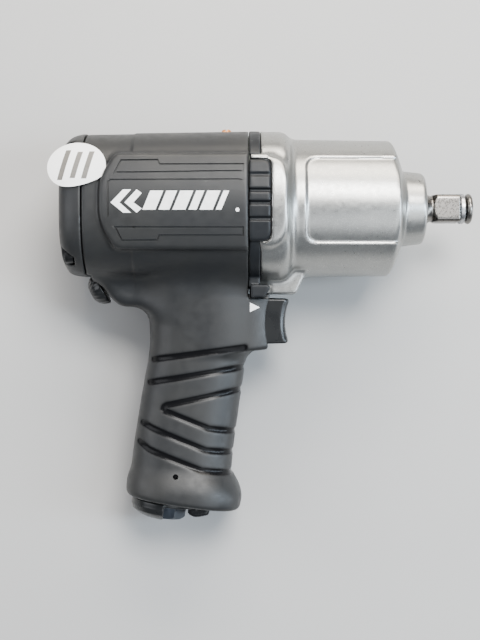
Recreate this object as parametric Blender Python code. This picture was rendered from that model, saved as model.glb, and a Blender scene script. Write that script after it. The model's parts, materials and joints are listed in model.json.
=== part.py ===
"""Half-inch-drive pneumatic impact wrench, lying on its left side.

The tool is designed in its own tool frame, in millimetres: X runs along the drive axis
towards the anvil, Y points from the grip up to the barrel, and Z out of the right side.
The drive axis is y = z = 0, and x = 0 is where the hammer case meets the motor housing.
The empty "tool" lays that frame down, so that the side panel and the foot of the grip
rest on the ground plane. Each joint has an empty on its axis, whose X points along it.
"""

import math

import bmesh
import bpy
from mathutils import Matrix, Vector

MM = 0.001
GAP = 0.3  # between two pieces that touch, or that run in each other

# How the tool lies: rolled about the drive axis until side panel and foot both touch.
REST_ROLL_DEG = 6.56

# Motor housing: a barrel of rounded-square section, x is its length
HOUSING_REAR, HOUSING_FRONT = -74.5, -0.8
BARREL_REAR_SIZE = (34.0, 35.2)  # half height, half width
BARREL_FRONT_SIZE = (34.8, 36.0)
BARREL_POWER = 2.6  # of the superellipse that the section follows
SIDE_REACH = 37.6  # the side panels' and pads' crown, from the drive axis
CROWN_R = 62.0
PANEL_HALF_HEIGHT = 21.0
MOTOR_BORE_R = 28.0
SPIGOT_BORE_R, SPIGOT_BORE_REAR = 28.6, -16.3

# Through bolts, at 45 degrees round the barrel
BOLT_CENTRE = 22.9  # both across and up from the drive axis
BOLT_R, BOLT_HOLE_R = 2.0, 2.3
BOLT_HEAD_R, BOLT_HEAD_REAR, BOLT_SEAT = 3.6, -81.6, -77.9
BOLT_TIP = 12.0

# Grip: (y, back x, front x, half width) of its level sections, and its leaning air inlet
GRIP_SECTIONS = (
    (-18.0, -44.0, 5.0, 17.0),
    (-38.0, -46.0, 7.0, 18.3),
    (-62.0, -45.7, 6.9, 17.6),
    (-65.2, -46.0, 6.4, 17.4),
    (-66.2, -46.2, 0.2, 17.4),
    (-70.2, -46.8, -1.7, 17.2),
    (-88.8, -50.3, -4.4, 17.4),
    (-107.4, -53.2, -7.0, 18.0),
    (-119.0, -54.6, -8.2, 18.8),
    (-122.0, -55.9, -8.0, 19.8),
    (-125.5, -56.7, -5.6, 21.4),
    (-128.5, -56.9, -4.0, 22.2),
    (-133.0, -56.6, -3.4, 22.6),
    (-139.0, -54.8, -5.0, 22.2),
    (-146.0, -52.0, -7.4, 20.6),
)
GRIP_POWER = 2.7
INLET_FOOT = (-38.2, -134.0)  # where the inlet's axis leaves the foot of the grip
INLET_LEAN_DEG = 8.3
INLET_BORE_R, INLET_THREAD_BORE_R, INLET_THREAD_DEPTH = 6.5, 8.6, 20.3
EXHAUST_R, EXHAUST_SIDE = 2.8, 11.5
INLET_PIN = (-33.1, -121.8)

# Trigger and throttle, on an axis along X
THROTTLE_Y = -51.6
TRIGGER_HALF_HEIGHT, TRIGGER_HALF_WIDTH = 10.3, 8.0
TRIGGER_REAR, TRIGGER_FRONT, TRIGGER_HOLLOW = 0.0, 18.8, 2.4
TRIGGER_TRAVEL = 7.0
SHROUD_TOP = -39.9
CHAMBER_R, CHAMBER_REAR = 6.9, -38.0
VALVE_REAR = -29.0
SPRING_R, SPRING_WIRE_R, SPRING_FRONT = 4.0, 0.5, -25.6

# Selector dial, on the sloping face behind the grip
DIAL_FACE = (-66.9, -36.1)
DIAL_SLOPE_DEG = 27.8  # how far its axis points below straight back
DIAL_RINGS = ((1.0, 7.6), (3.2, 7.4), (5.2, 6.7), (6.8, 5.0), (7.7, 3.4))  # (height, radius)
DIAL_ROOM_R = 7.95
REAR_BELLY = -31.2  # the flat under the rear cap, above the dial
VALVE_BORE_R, VALVE_BORE_DEPTH = 4.0, 8.9
DETENT_SIDE = 6.0  # how far the detent lies from the dial's axis

# Small parts on the barrel
OIL_PLUG_X = -10.6
STICKER_CENTRE, STICKER_R = (-75.6, 4.6, 0.0), 12.7

# Hammer case and nose
CAVITY_R, CAVITY_FRONT = 26.9, 53.5
NOSE_BORE_R, NOSE_FRONT = 13.1, 80.5

# Motor: its parts' places along x
REAR_PLATE = (-74.2, -66.2)
CYLINDER = (-65.9, -27.9)
FRONT_PLATE = (-27.6, -16.6)
MOTOR_R = 27.7
CYLINDER_BORE_R, CYLINDER_OFFSET = 22.2, -3.0
ROTOR_R, ROTOR = 18.9, (-65.6, -28.2)
VANES, SLOT_WIDTH, SLOT_FLOOR_R = 6, 2.6, 10.4

# Hammer mechanism
CAGE_R, CAGE = 25.6, (-12.0, 50.0)
CAGE_WINDOW = (-6.0, 44.0)
HAMMER_LENGTH, HAMMER_R, HAMMER_HALF_HEIGHT, HAMMER_HOLE_R = 24.4, 24.6, 16.2, 13.2
PIN_OUT, PIN_R = 20.5, 3.2
# (radius, angle) corners of a hammer's inner dog, which strikes the anvil's lug
DOG_CORNERS = ((10.6, 2.35), (14.0, 2.30), (14.0, 2.85), (10.6, 2.80))
ANVIL_CORE_R, ANVIL_LUG_R, ANVIL_SHAFT_R = 8.5, 11.4, 9.6
SQUARE = 12.7  # half-inch drive, across flats
ANVIL_END = 103.0

FINISHES = {
    "housing_composite": ((0.055, 0.058, 0.060), 0.55, 0.0),
    "bumper_rubber": ((0.035, 0.037, 0.040), 0.60, 0.0),
    "case_silver": ((0.62, 0.61, 0.58), 0.32, 0.9),
    "anvil_steel": ((0.42, 0.41, 0.39), 0.18, 1.0),
    "tool_steel": ((0.45, 0.45, 0.46), 0.30, 1.0),
    "cylinder_iron": ((0.30, 0.30, 0.31), 0.45, 0.8),
    "bronze": ((0.60, 0.42, 0.20), 0.35, 1.0),
    "brass": ((0.80, 0.55, 0.28), 0.30, 1.0),
    "vane_resin": ((0.22, 0.13, 0.07), 0.60, 0.0),
    "seal_rubber": ((0.02, 0.02, 0.02), 0.70, 0.0),
    "gasket_paper": ((0.20, 0.22, 0.20), 0.80, 0.0),
    "black_oxide": ((0.05, 0.05, 0.05), 0.35, 0.8),
    "zinc_steel": ((0.55, 0.57, 0.58), 0.30, 1.0),
    "trigger_plastic": ((0.030, 0.032, 0.035), 0.40, 0.0),
    "sticker_white": ((0.85, 0.85, 0.83), 0.50, 0.0),
}


# ---------------------------------------------------------------- shapes


def aimed(origin, direction):
    """Frame whose X points along direction, for a turned piece that doesn't lie on the drive axis."""
    turn = Vector(direction).to_track_quat("X", "Z").to_matrix().to_4x4()
    return Matrix.Translation(Vector(origin) * MM) @ turn


def turned(profile, steps=28, ring=False, frame=None):
    """Body turned about X from (x, radius) points. A ring's profile closes on itself."""
    bm = bmesh.new()
    points = [bm.verts.new((x * MM, r * MM, 0.0)) for x, r in profile]
    pairs = list(zip(points, points[1:], strict=False))
    if ring:
        pairs.append((points[-1], points[0]))
    edges = [bm.edges.new(pair) for pair in pairs]
    bmesh.ops.spin(
        bm, geom=points + edges, axis=(1, 0, 0), cent=(0, 0, 0), angle=math.tau, steps=steps
    )
    bmesh.ops.remove_doubles(bm, verts=bm.verts, dist=1e-7)
    return finished(bm, frame)


def tube(x0, x1, inner, outer, steps=28, frame=None):
    """Plain ring, or a plain rod where inner is 0."""
    if inner:
        return turned([(x0, inner), (x0, outer), (x1, outer), (x1, inner)], steps, True, frame)
    return turned([(x0, 0), (x0, outer), (x1, outer), (x1, 0)], steps, False, frame)


def prism(outline, start, end, frame=None):
    """Body with an (x, y) outline, from z = start to z = end."""
    return loft([[(x, y, z) for x, y in outline] for z in (start, end)], frame)


def box(x, y, z):
    """Block between two limits on each axis."""
    return prism([(x[0], y[0]), (x[1], y[0]), (x[1], y[1]), (x[0], y[1])], z[0], z[1])


def loft(rings, frame=None, closed=False):
    """Skin over rings of (x, y, z) points, with flat ends, or joined round where closed."""
    bm = bmesh.new()
    loops = [[bm.verts.new(Vector(point) * MM) for point in ring] for ring in rings]
    follow = list(zip(loops, loops[1:], strict=False))
    if closed:
        follow.append((loops[-1], loops[0]))
    for here, there in follow:
        for i in range(len(here)):
            j = (i + 1) % len(here)
            bm.faces.new((here[i], here[j], there[j], there[i]))
    if not closed:
        bm.faces.new(loops[0])
        bm.faces.new(loops[-1])
    return finished(bm, frame)


def finished(bm, frame):
    bmesh.ops.recalc_face_normals(bm, faces=bm.faces)
    if frame:
        bm.transform(frame)
    return bm


def squircle(half_y, half_z, power=BARREL_POWER, steps=40):
    """(y, z) points of a superellipse about the drive axis."""
    points = []
    for i in range(steps):
        c, s = math.cos(math.tau * i / steps), math.sin(math.tau * i / steps)
        y = math.copysign(abs(c) ** (2 / power), c)
        z = math.copysign(abs(s) ** (2 / power), s)
        points.append((half_y * y, half_z * z))
    return points


def barrel(sections):
    """Loft along X of (x, half height, half width, power) sections."""
    return loft([[(x, y, z) for y, z in squircle(*size)] for x, *size in sections])


def arc(centre, radius, start_deg, end_deg, count):
    """Points on a circle, both ends included."""
    turns = [start_deg + (end_deg - start_deg) * i / (count - 1) for i in range(count)]
    return [
        (
            centre[0] + radius * math.cos(math.radians(turn)),
            centre[1] + radius * math.sin(math.radians(turn)),
        )
        for turn in turns
    ]


def coil(start, end, radius, wire_r, turns, frame, sides=5, per_turn=10):
    """Compression spring about X."""
    rings = []
    for i in range(turns * per_turn + 1):
        turn = math.tau * i / per_turn
        x = start + wire_r + (end - start - 2 * wire_r) * i / (turns * per_turn)
        ring = []
        for k in range(sides):
            side = math.tau * k / sides
            out = radius + wire_r * math.cos(side)
            ring.append(
                (x + wire_r * math.sin(side), out * math.cos(turn), out * math.sin(turn))
            )
        rings.append(ring)
    return loft(rings, frame)


# ---------------------------------------------------------------- objects


def finish_of(name):
    material = bpy.data.materials.get(name)
    if material is None:
        colour, roughness, metallic = FINISHES[name]
        material = bpy.data.materials.new(name)
        material.use_nodes = True
        shader = material.node_tree.nodes["Principled BSDF"]
        shader.inputs["Base Color"].default_value = (*colour, 1.0)
        shader.inputs["Roughness"].default_value = roughness
        shader.inputs["Metallic"].default_value = metallic
        material.diffuse_color = (*colour, 1.0)
    return material


def mesh_of(bm):
    mesh = bpy.data.meshes.new("body")
    bm.to_mesh(mesh)
    bm.free()
    return mesh


def piece(name, bm, finish, parent):
    """Named sub-part whose body is given in the tool frame, carried by the parent empty."""
    made = bpy.data.objects.new(name, mesh_of(bm))
    bpy.context.scene.collection.objects.link(made)
    made.data.materials.append(finish_of(finish))
    made.parent = parent
    if parent.parent:
        made.matrix_parent_inverse = parent.matrix_basis.inverted()
    return made


def combine(made, operation, *bodies):
    """Joins bodies to a piece with UNION, or cuts them from it with DIFFERENCE."""
    for body in bodies:
        other = bpy.data.objects.new("other", mesh_of(body))
        bpy.context.scene.collection.objects.link(other)
        other.matrix_world = made.matrix_world
        modifier = made.modifiers.new("combine", "BOOLEAN")
        modifier.operation = operation
        modifier.solver = "EXACT"
        modifier.object = other
        bpy.context.view_layer.update()
        other.matrix_world = made.matrix_world
        bpy.context.view_layer.update()
        graph = bpy.context.evaluated_depsgraph_get()
        result = bpy.data.meshes.new_from_object(made.evaluated_get(graph))
        made.modifiers.clear()
        made.data = result
        bpy.data.objects.remove(other)
    return made


def empty(name, parent=None, frame=None):
    made = bpy.data.objects.new(name, None)
    made.empty_display_size = 0.02
    bpy.context.scene.collection.objects.link(made)
    made.parent = parent
    if frame:
        made.matrix_basis = frame
    return made


def smooth_round_faces():
    """Shades every mesh smooth but for its corners."""
    for made in bpy.context.scene.objects:
        if made.type == "MESH":
            made.data.shade_smooth()
            made.data.set_sharp_from_angle(angle=math.radians(35))


# ---------------------------------------------------------------- frames of the slanting parts

LEAN = math.radians(INLET_LEAN_DEG)
INLET_DOWN = Vector((-math.sin(LEAN), -math.cos(LEAN), 0.0))
INLET_FRAME = aimed((*INLET_FOOT, 0.0), INLET_DOWN)
SLOPE = math.radians(DIAL_SLOPE_DEG)
DIAL_OUT = Vector((-math.cos(SLOPE), -math.sin(SLOPE), 0.0))
DIAL_FRAME = aimed((*DIAL_FACE, 0.0), DIAL_OUT)
THROTTLE_FRAME = aimed((0.0, THROTTLE_Y, 0.0), (1, 0, 0))
CORNERS = [(y, z) for y in (BOLT_CENTRE, -BOLT_CENTRE) for z in (BOLT_CENTRE, -BOLT_CENTRE)]


def on_axis(y, z):
    """Frame of a piece turned about a line along X at that height and side."""
    return Matrix.Translation(Vector((0.0, y, z)) * MM)


def beside(frame, side):
    """That frame moved sideways along Z."""
    return Matrix.Translation((0, 0, side * MM)) @ frame


def bolt_holes(x0, x1, radius=BOLT_HOLE_R):
    return [tube(x0, x1, 0, radius, 16, on_axis(y, z)) for y, z in CORNERS]


def crowned(outline, inner):
    """Right and left plates of an (x, y) outline, out to the crown that the side panels share."""
    plates = []
    for side in (1, -1):
        plate = prism(outline, side * inner, side * (SIDE_REACH + 5))
        block = piece("plate", plate, "brass", TOOL)
        middle = on_axis(0.0, side * (SIDE_REACH - CROWN_R))
        combine(block, "INTERSECT", tube(-90, 60, 0, CROWN_R, 96, middle))
        body = bmesh.new()
        body.from_mesh(block.data)
        bpy.data.objects.remove(block)
        plates.append(body)
    return plates


# ---------------------------------------------------------------- casings


def grip_body():
    """The grip and trigger housing, from inside the barrel down past the foot."""
    rings = []
    for y, back, front, half_width in GRIP_SECTIONS:
        middle, half = (back + front) / 2, (front - back) / 2
        section = squircle(half, half_width, GRIP_POWER, 36)
        rings.append([(middle + x, y, z) for x, z in section])
    return loft(rings)


def motor_housing():
    made = piece(
        "motor_housing",
        barrel(
            [
                (HOUSING_REAR, *BARREL_REAR_SIZE, BARREL_POWER),
                (HOUSING_FRONT, *BARREL_FRONT_SIZE, BARREL_POWER),
            ]
        ),
        "housing_composite",
        TOOL,
    )
    half = PANEL_HALF_HEIGHT
    panel = [(-65.7, -9), (-59.4, -half), (HOUSING_FRONT, -half)]
    panel += [(x, -y) for x, y in reversed(panel)]
    valve_block = [(-71.2, -27.9), (-64.2, -41.1), (-58.6, -45.6)]
    valve_block += [(-49, -46.1), (-38, -50), (-38, -25)]
    combine(made, "UNION", grip_body(), prism(valve_block, -12, 12), *crowned(panel, 24))
    foot = Matrix.Translation(Vector((*INLET_FOOT, 0.0)) * MM) @ Matrix.Rotation(-LEAN, 4, "Z")
    below = box((-60, 60), (-40, 0), (-40, 40))
    below.transform(foot)
    nose_room = box((HOUSING_FRONT, 15), (SHROUD_TOP, -15), (-40, 40))
    tab_rooms = [box((HOUSING_FRONT, 15), (-44.3, -15), (s * 12.2, s * 40)) for s in (1, -1)]
    dial_room = tube(0, 20, 0, DIAL_ROOM_R, 32, DIAL_FRAME)
    belly = box((-90, -71.5), (-50, REAR_BELLY), (-40, 40))
    combine(made, "DIFFERENCE", below, nose_room, *tab_rooms, dial_room, belly)
    combine(
        made,
        "DIFFERENCE",
        tube(-80, 5, 0, MOTOR_BORE_R, 48),
        tube(SPIGOT_BORE_REAR, 5, 0, SPIGOT_BORE_R, 48),
        *bolt_holes(-80, 5),
    )
    reach = TRIGGER_HALF_HEIGHT + GAP
    pocket = box(
        (TRIGGER_REAR - TRIGGER_TRAVEL - 1, 15),
        (THROTTLE_Y - reach, THROTTLE_Y + reach),
        (-TRIGGER_HALF_WIDTH - GAP, TRIGGER_HALF_WIDTH + GAP),
    )
    chamber = tube(CHAMBER_REAR, TRIGGER_REAR - TRIGGER_TRAVEL, 0, CHAMBER_R, 24, THROTTLE_FRAME)
    inlet = tube(-78, 10, 0, INLET_BORE_R, 24, INLET_FRAME)
    inlet_thread = tube(-INLET_THREAD_DEPTH, 10, 0, INLET_THREAD_BORE_R, 24, INLET_FRAME)
    combine(made, "DIFFERENCE", pocket, chamber, inlet, inlet_thread)
    feed_start, feed_end = Vector((-16, THROTTLE_Y, 0)), Vector((-58, -33.6, 0))
    feed_way = feed_end - feed_start
    feed = tube(0, feed_way.length, 0, 3, 12, aimed(feed_start, feed_way))
    valve_bore = tube(-VALVE_BORE_DEPTH, 10, 0, VALVE_BORE_R, 16, DIAL_FRAME)
    detent_bore = tube(-5.2, 5, 0, 1.5, 12, beside(DIAL_FRAME, DETENT_SIDE))
    exhausts = [
        tube(-112, 10, 0, EXHAUST_R, 12, beside(INLET_FRAME, s * EXHAUST_SIDE)) for s in (1, -1)
    ]
    combine(made, "DIFFERENCE", feed, valve_bore, detent_bore, *exhausts)
    plug = aimed((OIL_PLUG_X, 0, 0), (0, 1, 0))
    pin = aimed((*INLET_PIN, 0), (0, 0, 1))
    combine(made, "DIFFERENCE", tube(20, 50, 0, 2.4, 16, plug), tube(-40, 40, 0, 1.2, 10, pin))
    return made


def rear_cap():
    made = piece(
        "rear_cap",
        barrel(
            [
                (-75.6, 33.5, 34.7, 2.6),
                (-79.5, 33.3, 34.5, 2.6),
                (-82.2, 31.6, 32.8, 2.5),
                (-83.9, 28.8, 30.0, 2.4),
                (-84.5, 25.6, 26.8, 2.3),
            ]
        ),
        "housing_composite",
        TOOL,
    )
    combine(made, "DIFFERENCE", tube(-79.6, -70, 0, 23.5, 40), *bolt_holes(-90, -70))
    seats = [tube(-95, -77.6, 0, 4.6, 16, on_axis(y, z)) for y, z in CORNERS]
    belly = box((-90, -70), (-50, REAR_BELLY), (-40, 40))
    return combine(made, "DIFFERENCE", *seats, belly)


def gasket(name, x0, x1, half_y, half_z, hole_r):
    """Paper gasket with the barrel's outline."""
    sections = [(x, half_y, half_z, BARREL_POWER) for x in (x0, x1)]
    made = piece(name, barrel(sections), "gasket_paper", TOOL)
    belly = box((-90, -70), (-50, REAR_BELLY + 0.4), (-40, 40))
    hole = tube(x0 - 1, x1 + 1, 0, hole_r, 32)
    return combine(made, "DIFFERENCE", hole, *bolt_holes(x0 - 1, x1 + 1, 2.5), belly)


def cap_screws():
    """Four long socket-head screws that clamp cap, housing and hammer case together."""
    for number, (y, z) in enumerate(CORNERS, 1):
        profile = [
            (BOLT_HEAD_REAR, 0),
            (BOLT_HEAD_REAR, BOLT_HEAD_R),
            (BOLT_SEAT, BOLT_HEAD_R),
            (BOLT_SEAT, BOLT_R),
            (BOLT_TIP - 1, BOLT_R),
            (BOLT_TIP, BOLT_R - 0.8),
            (BOLT_TIP, 0),
        ]
        body = turned(profile, 16, frame=on_axis(y, z))
        made = piece(f"cap_screw_{number}", body, "black_oxide", TOOL)
        socket = arc((y, z), 1.9, 0, 300, 6)
        ends = (BOLT_HEAD_REAR - 2, BOLT_HEAD_REAR + 2)
        hexagon = loft([[(x, py, pz) for py, pz in socket] for x in ends])
        combine(made, "DIFFERENCE", hexagon)


def hammer_case():
    made = piece(
        "hammer_case",
        barrel(
            [
                (0.3, 32.8, 34.0, 2.6),
                (6.0, 32.8, 34.0, 2.6),
                (6.0, 34.7, 35.9, 2.6),
                (17.0, 34.6, 35.6, 2.6),
                (20.0, 33.2, 33.6, 2.4),
                (23.0, 31.7, 31.9, 2.1),
                (64.5, 31.3, 31.3, 2.0),
                (68.0, 29.4, 29.4, 2.0),
                (70.6, 25.4, 25.4, 2.0),
                (71.6, 19.0, 19.0, 2.0),
                (73.0, 17.0, 17.0, 2.0),
                (78.8, 16.4, 16.4, 2.0),
                (NOSE_FRONT, 14.8, 14.8, 2.0),
            ]
        ),
        "case_silver",
        TOOL,
    )
    half = PANEL_HALF_HEIGHT
    lug_bottom = SHROUD_TOP + GAP
    lug = [(0.3, -28), (0.3, -37), (8.6, lug_bottom), (21.0, lug_bottom), (24.4, -31), (24.4, -28)]
    boss = [(6.0, half), (6.0, -half)]
    boss += arc((8, 11 - half), 11, -90, 0, 5) + arc((8, half - 11), 11, 0, 90, 5)
    spigot = tube(SPIGOT_BORE_REAR + 0.4, 3, 24, SPIGOT_BORE_R - GAP, 48)
    combine(made, "UNION", prism(lug, -12, 12), *crowned(boss, 24), spigot)
    pad_room = [box((-1, 9.1), (-19, 19), (s * 33.6, s * 40)) for s in (1, -1)]
    combine(made, "DIFFERENCE", *pad_room)
    bores = turned(
        [
            (-30, 0),
            (-30, CAVITY_R),
            (CAVITY_FRONT, CAVITY_R),
            (CAVITY_FRONT, 14.8),
            (55.8, 14.8),
            (55.8, NOSE_BORE_R),
            (90, NOSE_BORE_R),
            (90, 0),
        ],
        40,
    )
    return combine(made, "DIFFERENCE", bores, *bolt_holes(-5, BOLT_TIP + 0.5))


def front_bumper():
    """Rubber band round the joint, with a ribbed pad on each side and a tab beside the trigger."""
    band = [(x, *BARREL_FRONT_SIZE, BARREL_POWER) for x in (0.3, 5.7)]
    hole = [(x, 33.1, 34.3, BARREL_POWER) for x in (-2, 8)]
    made = piece("front_bumper", barrel(band), "bumper_rubber", TOOL)
    combine(made, "DIFFERENCE", barrel(hole), box((-2, 8), (-40, 0), (-12.4, 12.4)))
    tab = [(0.3, -32.4), (5.7, -32.4), (5.7, -35.2), (7.6, -38.1), (8.4, -39.5)]
    tab += [(6.0, -44.0), (0.3, -44.0)]
    tabs = [prism(tab, s * 12.5, s * 17.2) for s in (1, -1)]
    pad = [(0.3, -18.6), *arc((5.7, -15.5), 3.1, -90, 0, 4)]
    pad += [(x, -y) for x, y in reversed(pad)]
    combine(made, "UNION", *tabs, *crowned(pad, 33.9))
    between_blocks = (-11.2, -3.7, 3.2, 9.9)
    grooves = [
        box((-2, 12), (y - 0.8, y + 0.8), (s * 36.0, s * 40))
        for y in between_blocks
        for s in (1, -1)
    ]
    return combine(made, "DIFFERENCE", *grooves)


def nose_parts():
    bush = [(53.8, 9.9), (53.8, 14.5), (55.5, 14.5)]
    bush += [(55.5, 12.8), (76.5, 12.8), (76.5, 9.9)]
    piece("anvil_bushing", turned(bush, 32, True), "bronze", TOOL)
    piece("nose_seal", tube(76.8, 79.9, 9.9, 12.8, 32), "seal_rubber", TOOL)


def trim():
    plug = aimed((OIL_PLUG_X, 0, 0), (0, 1, 0))
    profile = [(30.2, 0), (30.2, 2.1), (35.4, 2.1), (36.0, 1.5), (36.0, 0)]
    piece("oil_plug", turned(profile, 16, frame=plug), "brass", TOOL)
    pin = aimed((*INLET_PIN, 0), (0, 0, 1))
    piece("inlet_pin", tube(12.5, 17.5, 0, 0.9, 10, pin), "black_oxide", TOOL)
    sheet = barrel([(x, 34.7, 35.9, BARREL_POWER) for x in (-95, -50)])
    made = piece("round_sticker", sheet, "sticker_white", TOOL)
    combine(made, "DIFFERENCE", barrel([(x, 34.4, 35.6, BARREL_POWER) for x in (-96, -49)]))
    disc = tube(20, 50, 0, STICKER_R, 32, aimed(STICKER_CENTRE, (0, 0.29, 0.957)))
    combine(made, "INTERSECT", disc)
    panel_room = [(-66.1, -9), (-66.1, 9), (-59.8, PANEL_HALF_HEIGHT)]
    panel_room += [(-40, PANEL_HALF_HEIGHT), (-40, -9)]
    combine(made, "DIFFERENCE", prism(panel_room, 20, 45))


# ---------------------------------------------------------------- air motor


def motor_stator():
    rear = [
        (REAR_PLATE[0], 13.3),
        (REAR_PLATE[0], MOTOR_R),
        (REAR_PLATE[1], MOTOR_R),
        (REAR_PLATE[1], 6.4),
        (-67.6, 6.4),
        (-67.6, 13.3),
    ]
    piece("motor_rear_plate", turned(rear, 40, True), "cylinder_iron", TOOL)
    front = [
        (FRONT_PLATE[0], 8.2),
        (FRONT_PLATE[0], MOTOR_R),
        (FRONT_PLATE[1], MOTOR_R),
        (FRONT_PLATE[1], 16.3),
        (-26.0, 16.3),
        (-26.0, 8.2),
    ]
    piece("motor_front_plate", turned(front, 40, True), "cylinder_iron", TOOL)
    liner = piece("motor_cylinder", tube(*CYLINDER, 0, MOTOR_R, 40), "cylinder_iron", TOOL)
    off_centre = on_axis(CYLINDER_OFFSET, 0)
    bore = tube(CYLINDER[0] - 5, CYLINDER[1] + 5, 0, CYLINDER_BORE_R, 40, off_centre)
    ports = [
        tube(15, 35, 0, 2.2, 12, aimed((x, 0, 0), (0, -math.cos(a), math.sin(a))))
        for x in (-56, -47, -38)
        for a in (0.0, 0.45)
    ]
    combine(liner, "DIFFERENCE", bore, *ports)


def bearing(name, x, radii, balls, ball_r, spin, balls_parent):
    """Ball bearing as outer race, inner race and ball set.

    radii are those of the bore, inner race, outer race and outside.
    """
    bore, inner, outer, outside = radii
    piece(f"{name}_outer_race", tube(*x, outer, outside, 32), "tool_steel", TOOL)
    piece(f"{name}_inner_race", tube(*x, bore, inner, 24), "tool_steel", spin)
    pitch_r = (inner + outer) / 2
    middle = (x[0] + x[1]) / 2
    ring = tube(middle - 0.6, middle + 0.6, pitch_r - 0.5, pitch_r + 0.5, balls * 3)
    made = piece(f"{name}_balls", ring, "tool_steel", balls_parent)
    for i in range(balls):
        turn = math.tau * i / balls
        ball = bmesh.new()
        centre = Vector((middle, pitch_r * math.cos(turn), pitch_r * math.sin(turn))) * MM
        bmesh.ops.create_icosphere(
            ball, subdivisions=1, radius=ball_r * MM, matrix=Matrix.Translation(centre)
        )
        combine(made, "UNION", ball)


def rotor_outline():
    """(y, z) outline of the rotor core with its vane slots."""
    half_slot = math.asin(SLOT_WIDTH / 2 / ROTOR_R)
    half_floor = math.asin(SLOT_WIDTH / 2 / SLOT_FLOOR_R)
    outline = []
    for i in range(VANES):
        slot = math.tau * i / VANES
        land_end = slot + math.tau / VANES - half_slot
        for radius, turn in ((SLOT_FLOOR_R, slot - half_floor), (SLOT_FLOOR_R, slot + half_floor)):
            outline.append((radius * math.cos(turn), radius * math.sin(turn)))
        for k in range(5):
            turn = slot + half_slot + (land_end - slot - half_slot) * k / 4
            outline.append((ROTOR_R * math.cos(turn), ROTOR_R * math.sin(turn)))
    return outline


def spline(x0, x1, tip_r, root_r, teeth=8):
    """Splined bar about X."""
    ring = []
    for i in range(teeth):
        for k, radius in enumerate((tip_r, tip_r, root_r, root_r)):
            turn = math.tau * (i + (k + 0.5) / 4) / teeth
            ring.append((radius * math.cos(turn), radius * math.sin(turn)))
    return loft([[(x, y, z) for y, z in ring] for x in (x0, x1)])


def rotor_parts():
    core = loft([[(x, y, z) for y, z in rotor_outline()] for x in ROTOR])
    made = piece("rotor", core, "tool_steel", ROTOR_AXIS)
    shaft = [
        (-73.9, 0),
        (-73.9, 4.7),
        (-60, 4.7),
        (-60, 7.2),
        (-16.6, 7.2),
        (-16.6, 0),
    ]
    combine(made, "UNION", turned(shaft, 24), spline(-20, -7, 6.2, 5.0))
    for i in range(VANES):
        vane = box((ROTOR[0], ROTOR[1]), (SLOT_FLOOR_R + 0.4, ROTOR_R - 0.2), (-1.0, 1.0))
        vane.transform(Matrix.Rotation(math.tau * i / VANES, 4, "X"))
        piece(f"rotor_vane_{i + 1}", vane, "vane_resin", ROTOR_AXIS)
    rear_radii, front_radii = (5.0, 6.9, 11.2, 13.0), (7.5, 9.6, 13.9, 16.0)
    bearing("rear_bearing", (-73.6, -67.9), rear_radii, 7, 1.8, ROTOR_AXIS, REAR_BALLS_AXIS)
    bearing("front_bearing", (-25.7, -16.9), front_radii, 9, 1.85, ROTOR_AXIS, FRONT_BALLS_AXIS)


# ---------------------------------------------------------------- hammer mechanism


def hammer_cage():
    made = piece("hammer_cage", tube(*CAGE, 0, CAGE_R, 40), "tool_steel", ROTOR_AXIS)
    window = box(CAGE_WINDOW, (-19.3, 19.3), (-30, 30))
    pins = [tube(-20, 60, 0, PIN_R + GAP, 16, on_axis(0, s * PIN_OUT)) for s in (1, -1)]
    combine(made, "DIFFERENCE", window)
    combine(made, "UNION", tube(-15.5, CAGE_WINDOW[0] - 0.5, 0, 10.5, 32))
    anvil_room = tube(CAGE_WINDOW[1] - 2, 60, 0, 10.0, 32)
    combine(made, "DIFFERENCE", spline(-30, 0, 6.5, 5.3), anvil_room, *pins)
    for name, side in (("hammer_pin_a", 1), ("hammer_pin_b", -1)):
        pin = tube(CAGE[0] + 1, CAGE[1] - 1, 0, PIN_R, 16, on_axis(0, side * PIN_OUT))
        piece(name, pin, "tool_steel", ROTOR_AXIS)


def hammer(name, x0, side, parent):
    """Hammer that hangs on the pin at that side, with a notch round the other pin."""
    made = piece(name, tube(x0, x0 + HAMMER_LENGTH, 0, HAMMER_R, 40), "tool_steel", parent)
    flats = [
        box((x0 - 1, x0 + 40), (s * HAMMER_HALF_HEIGHT, s * 30), (-30, 30)) for s in (1, -1)
    ]
    hole = tube(x0 - 1, x0 + 40, 0, HAMMER_HOLE_R, 32)
    pivot = tube(x0 - 1, x0 + 40, 0, PIN_R + GAP, 16, on_axis(0, side * PIN_OUT))
    notch = box((x0 - 1, x0 + 40), (-6.8, 6.8), (-side * 16.6, -side * 30))
    combine(made, "DIFFERENCE", *flats, hole, pivot, notch)
    dog = [(side * r * math.cos(turn), side * r * math.sin(turn)) for r, turn in DOG_CORNERS]
    combine(made, "UNION", loft([[(x, y, z) for y, z in dog] for x in (x0, x0 + HAMMER_LENGTH)]))


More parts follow.
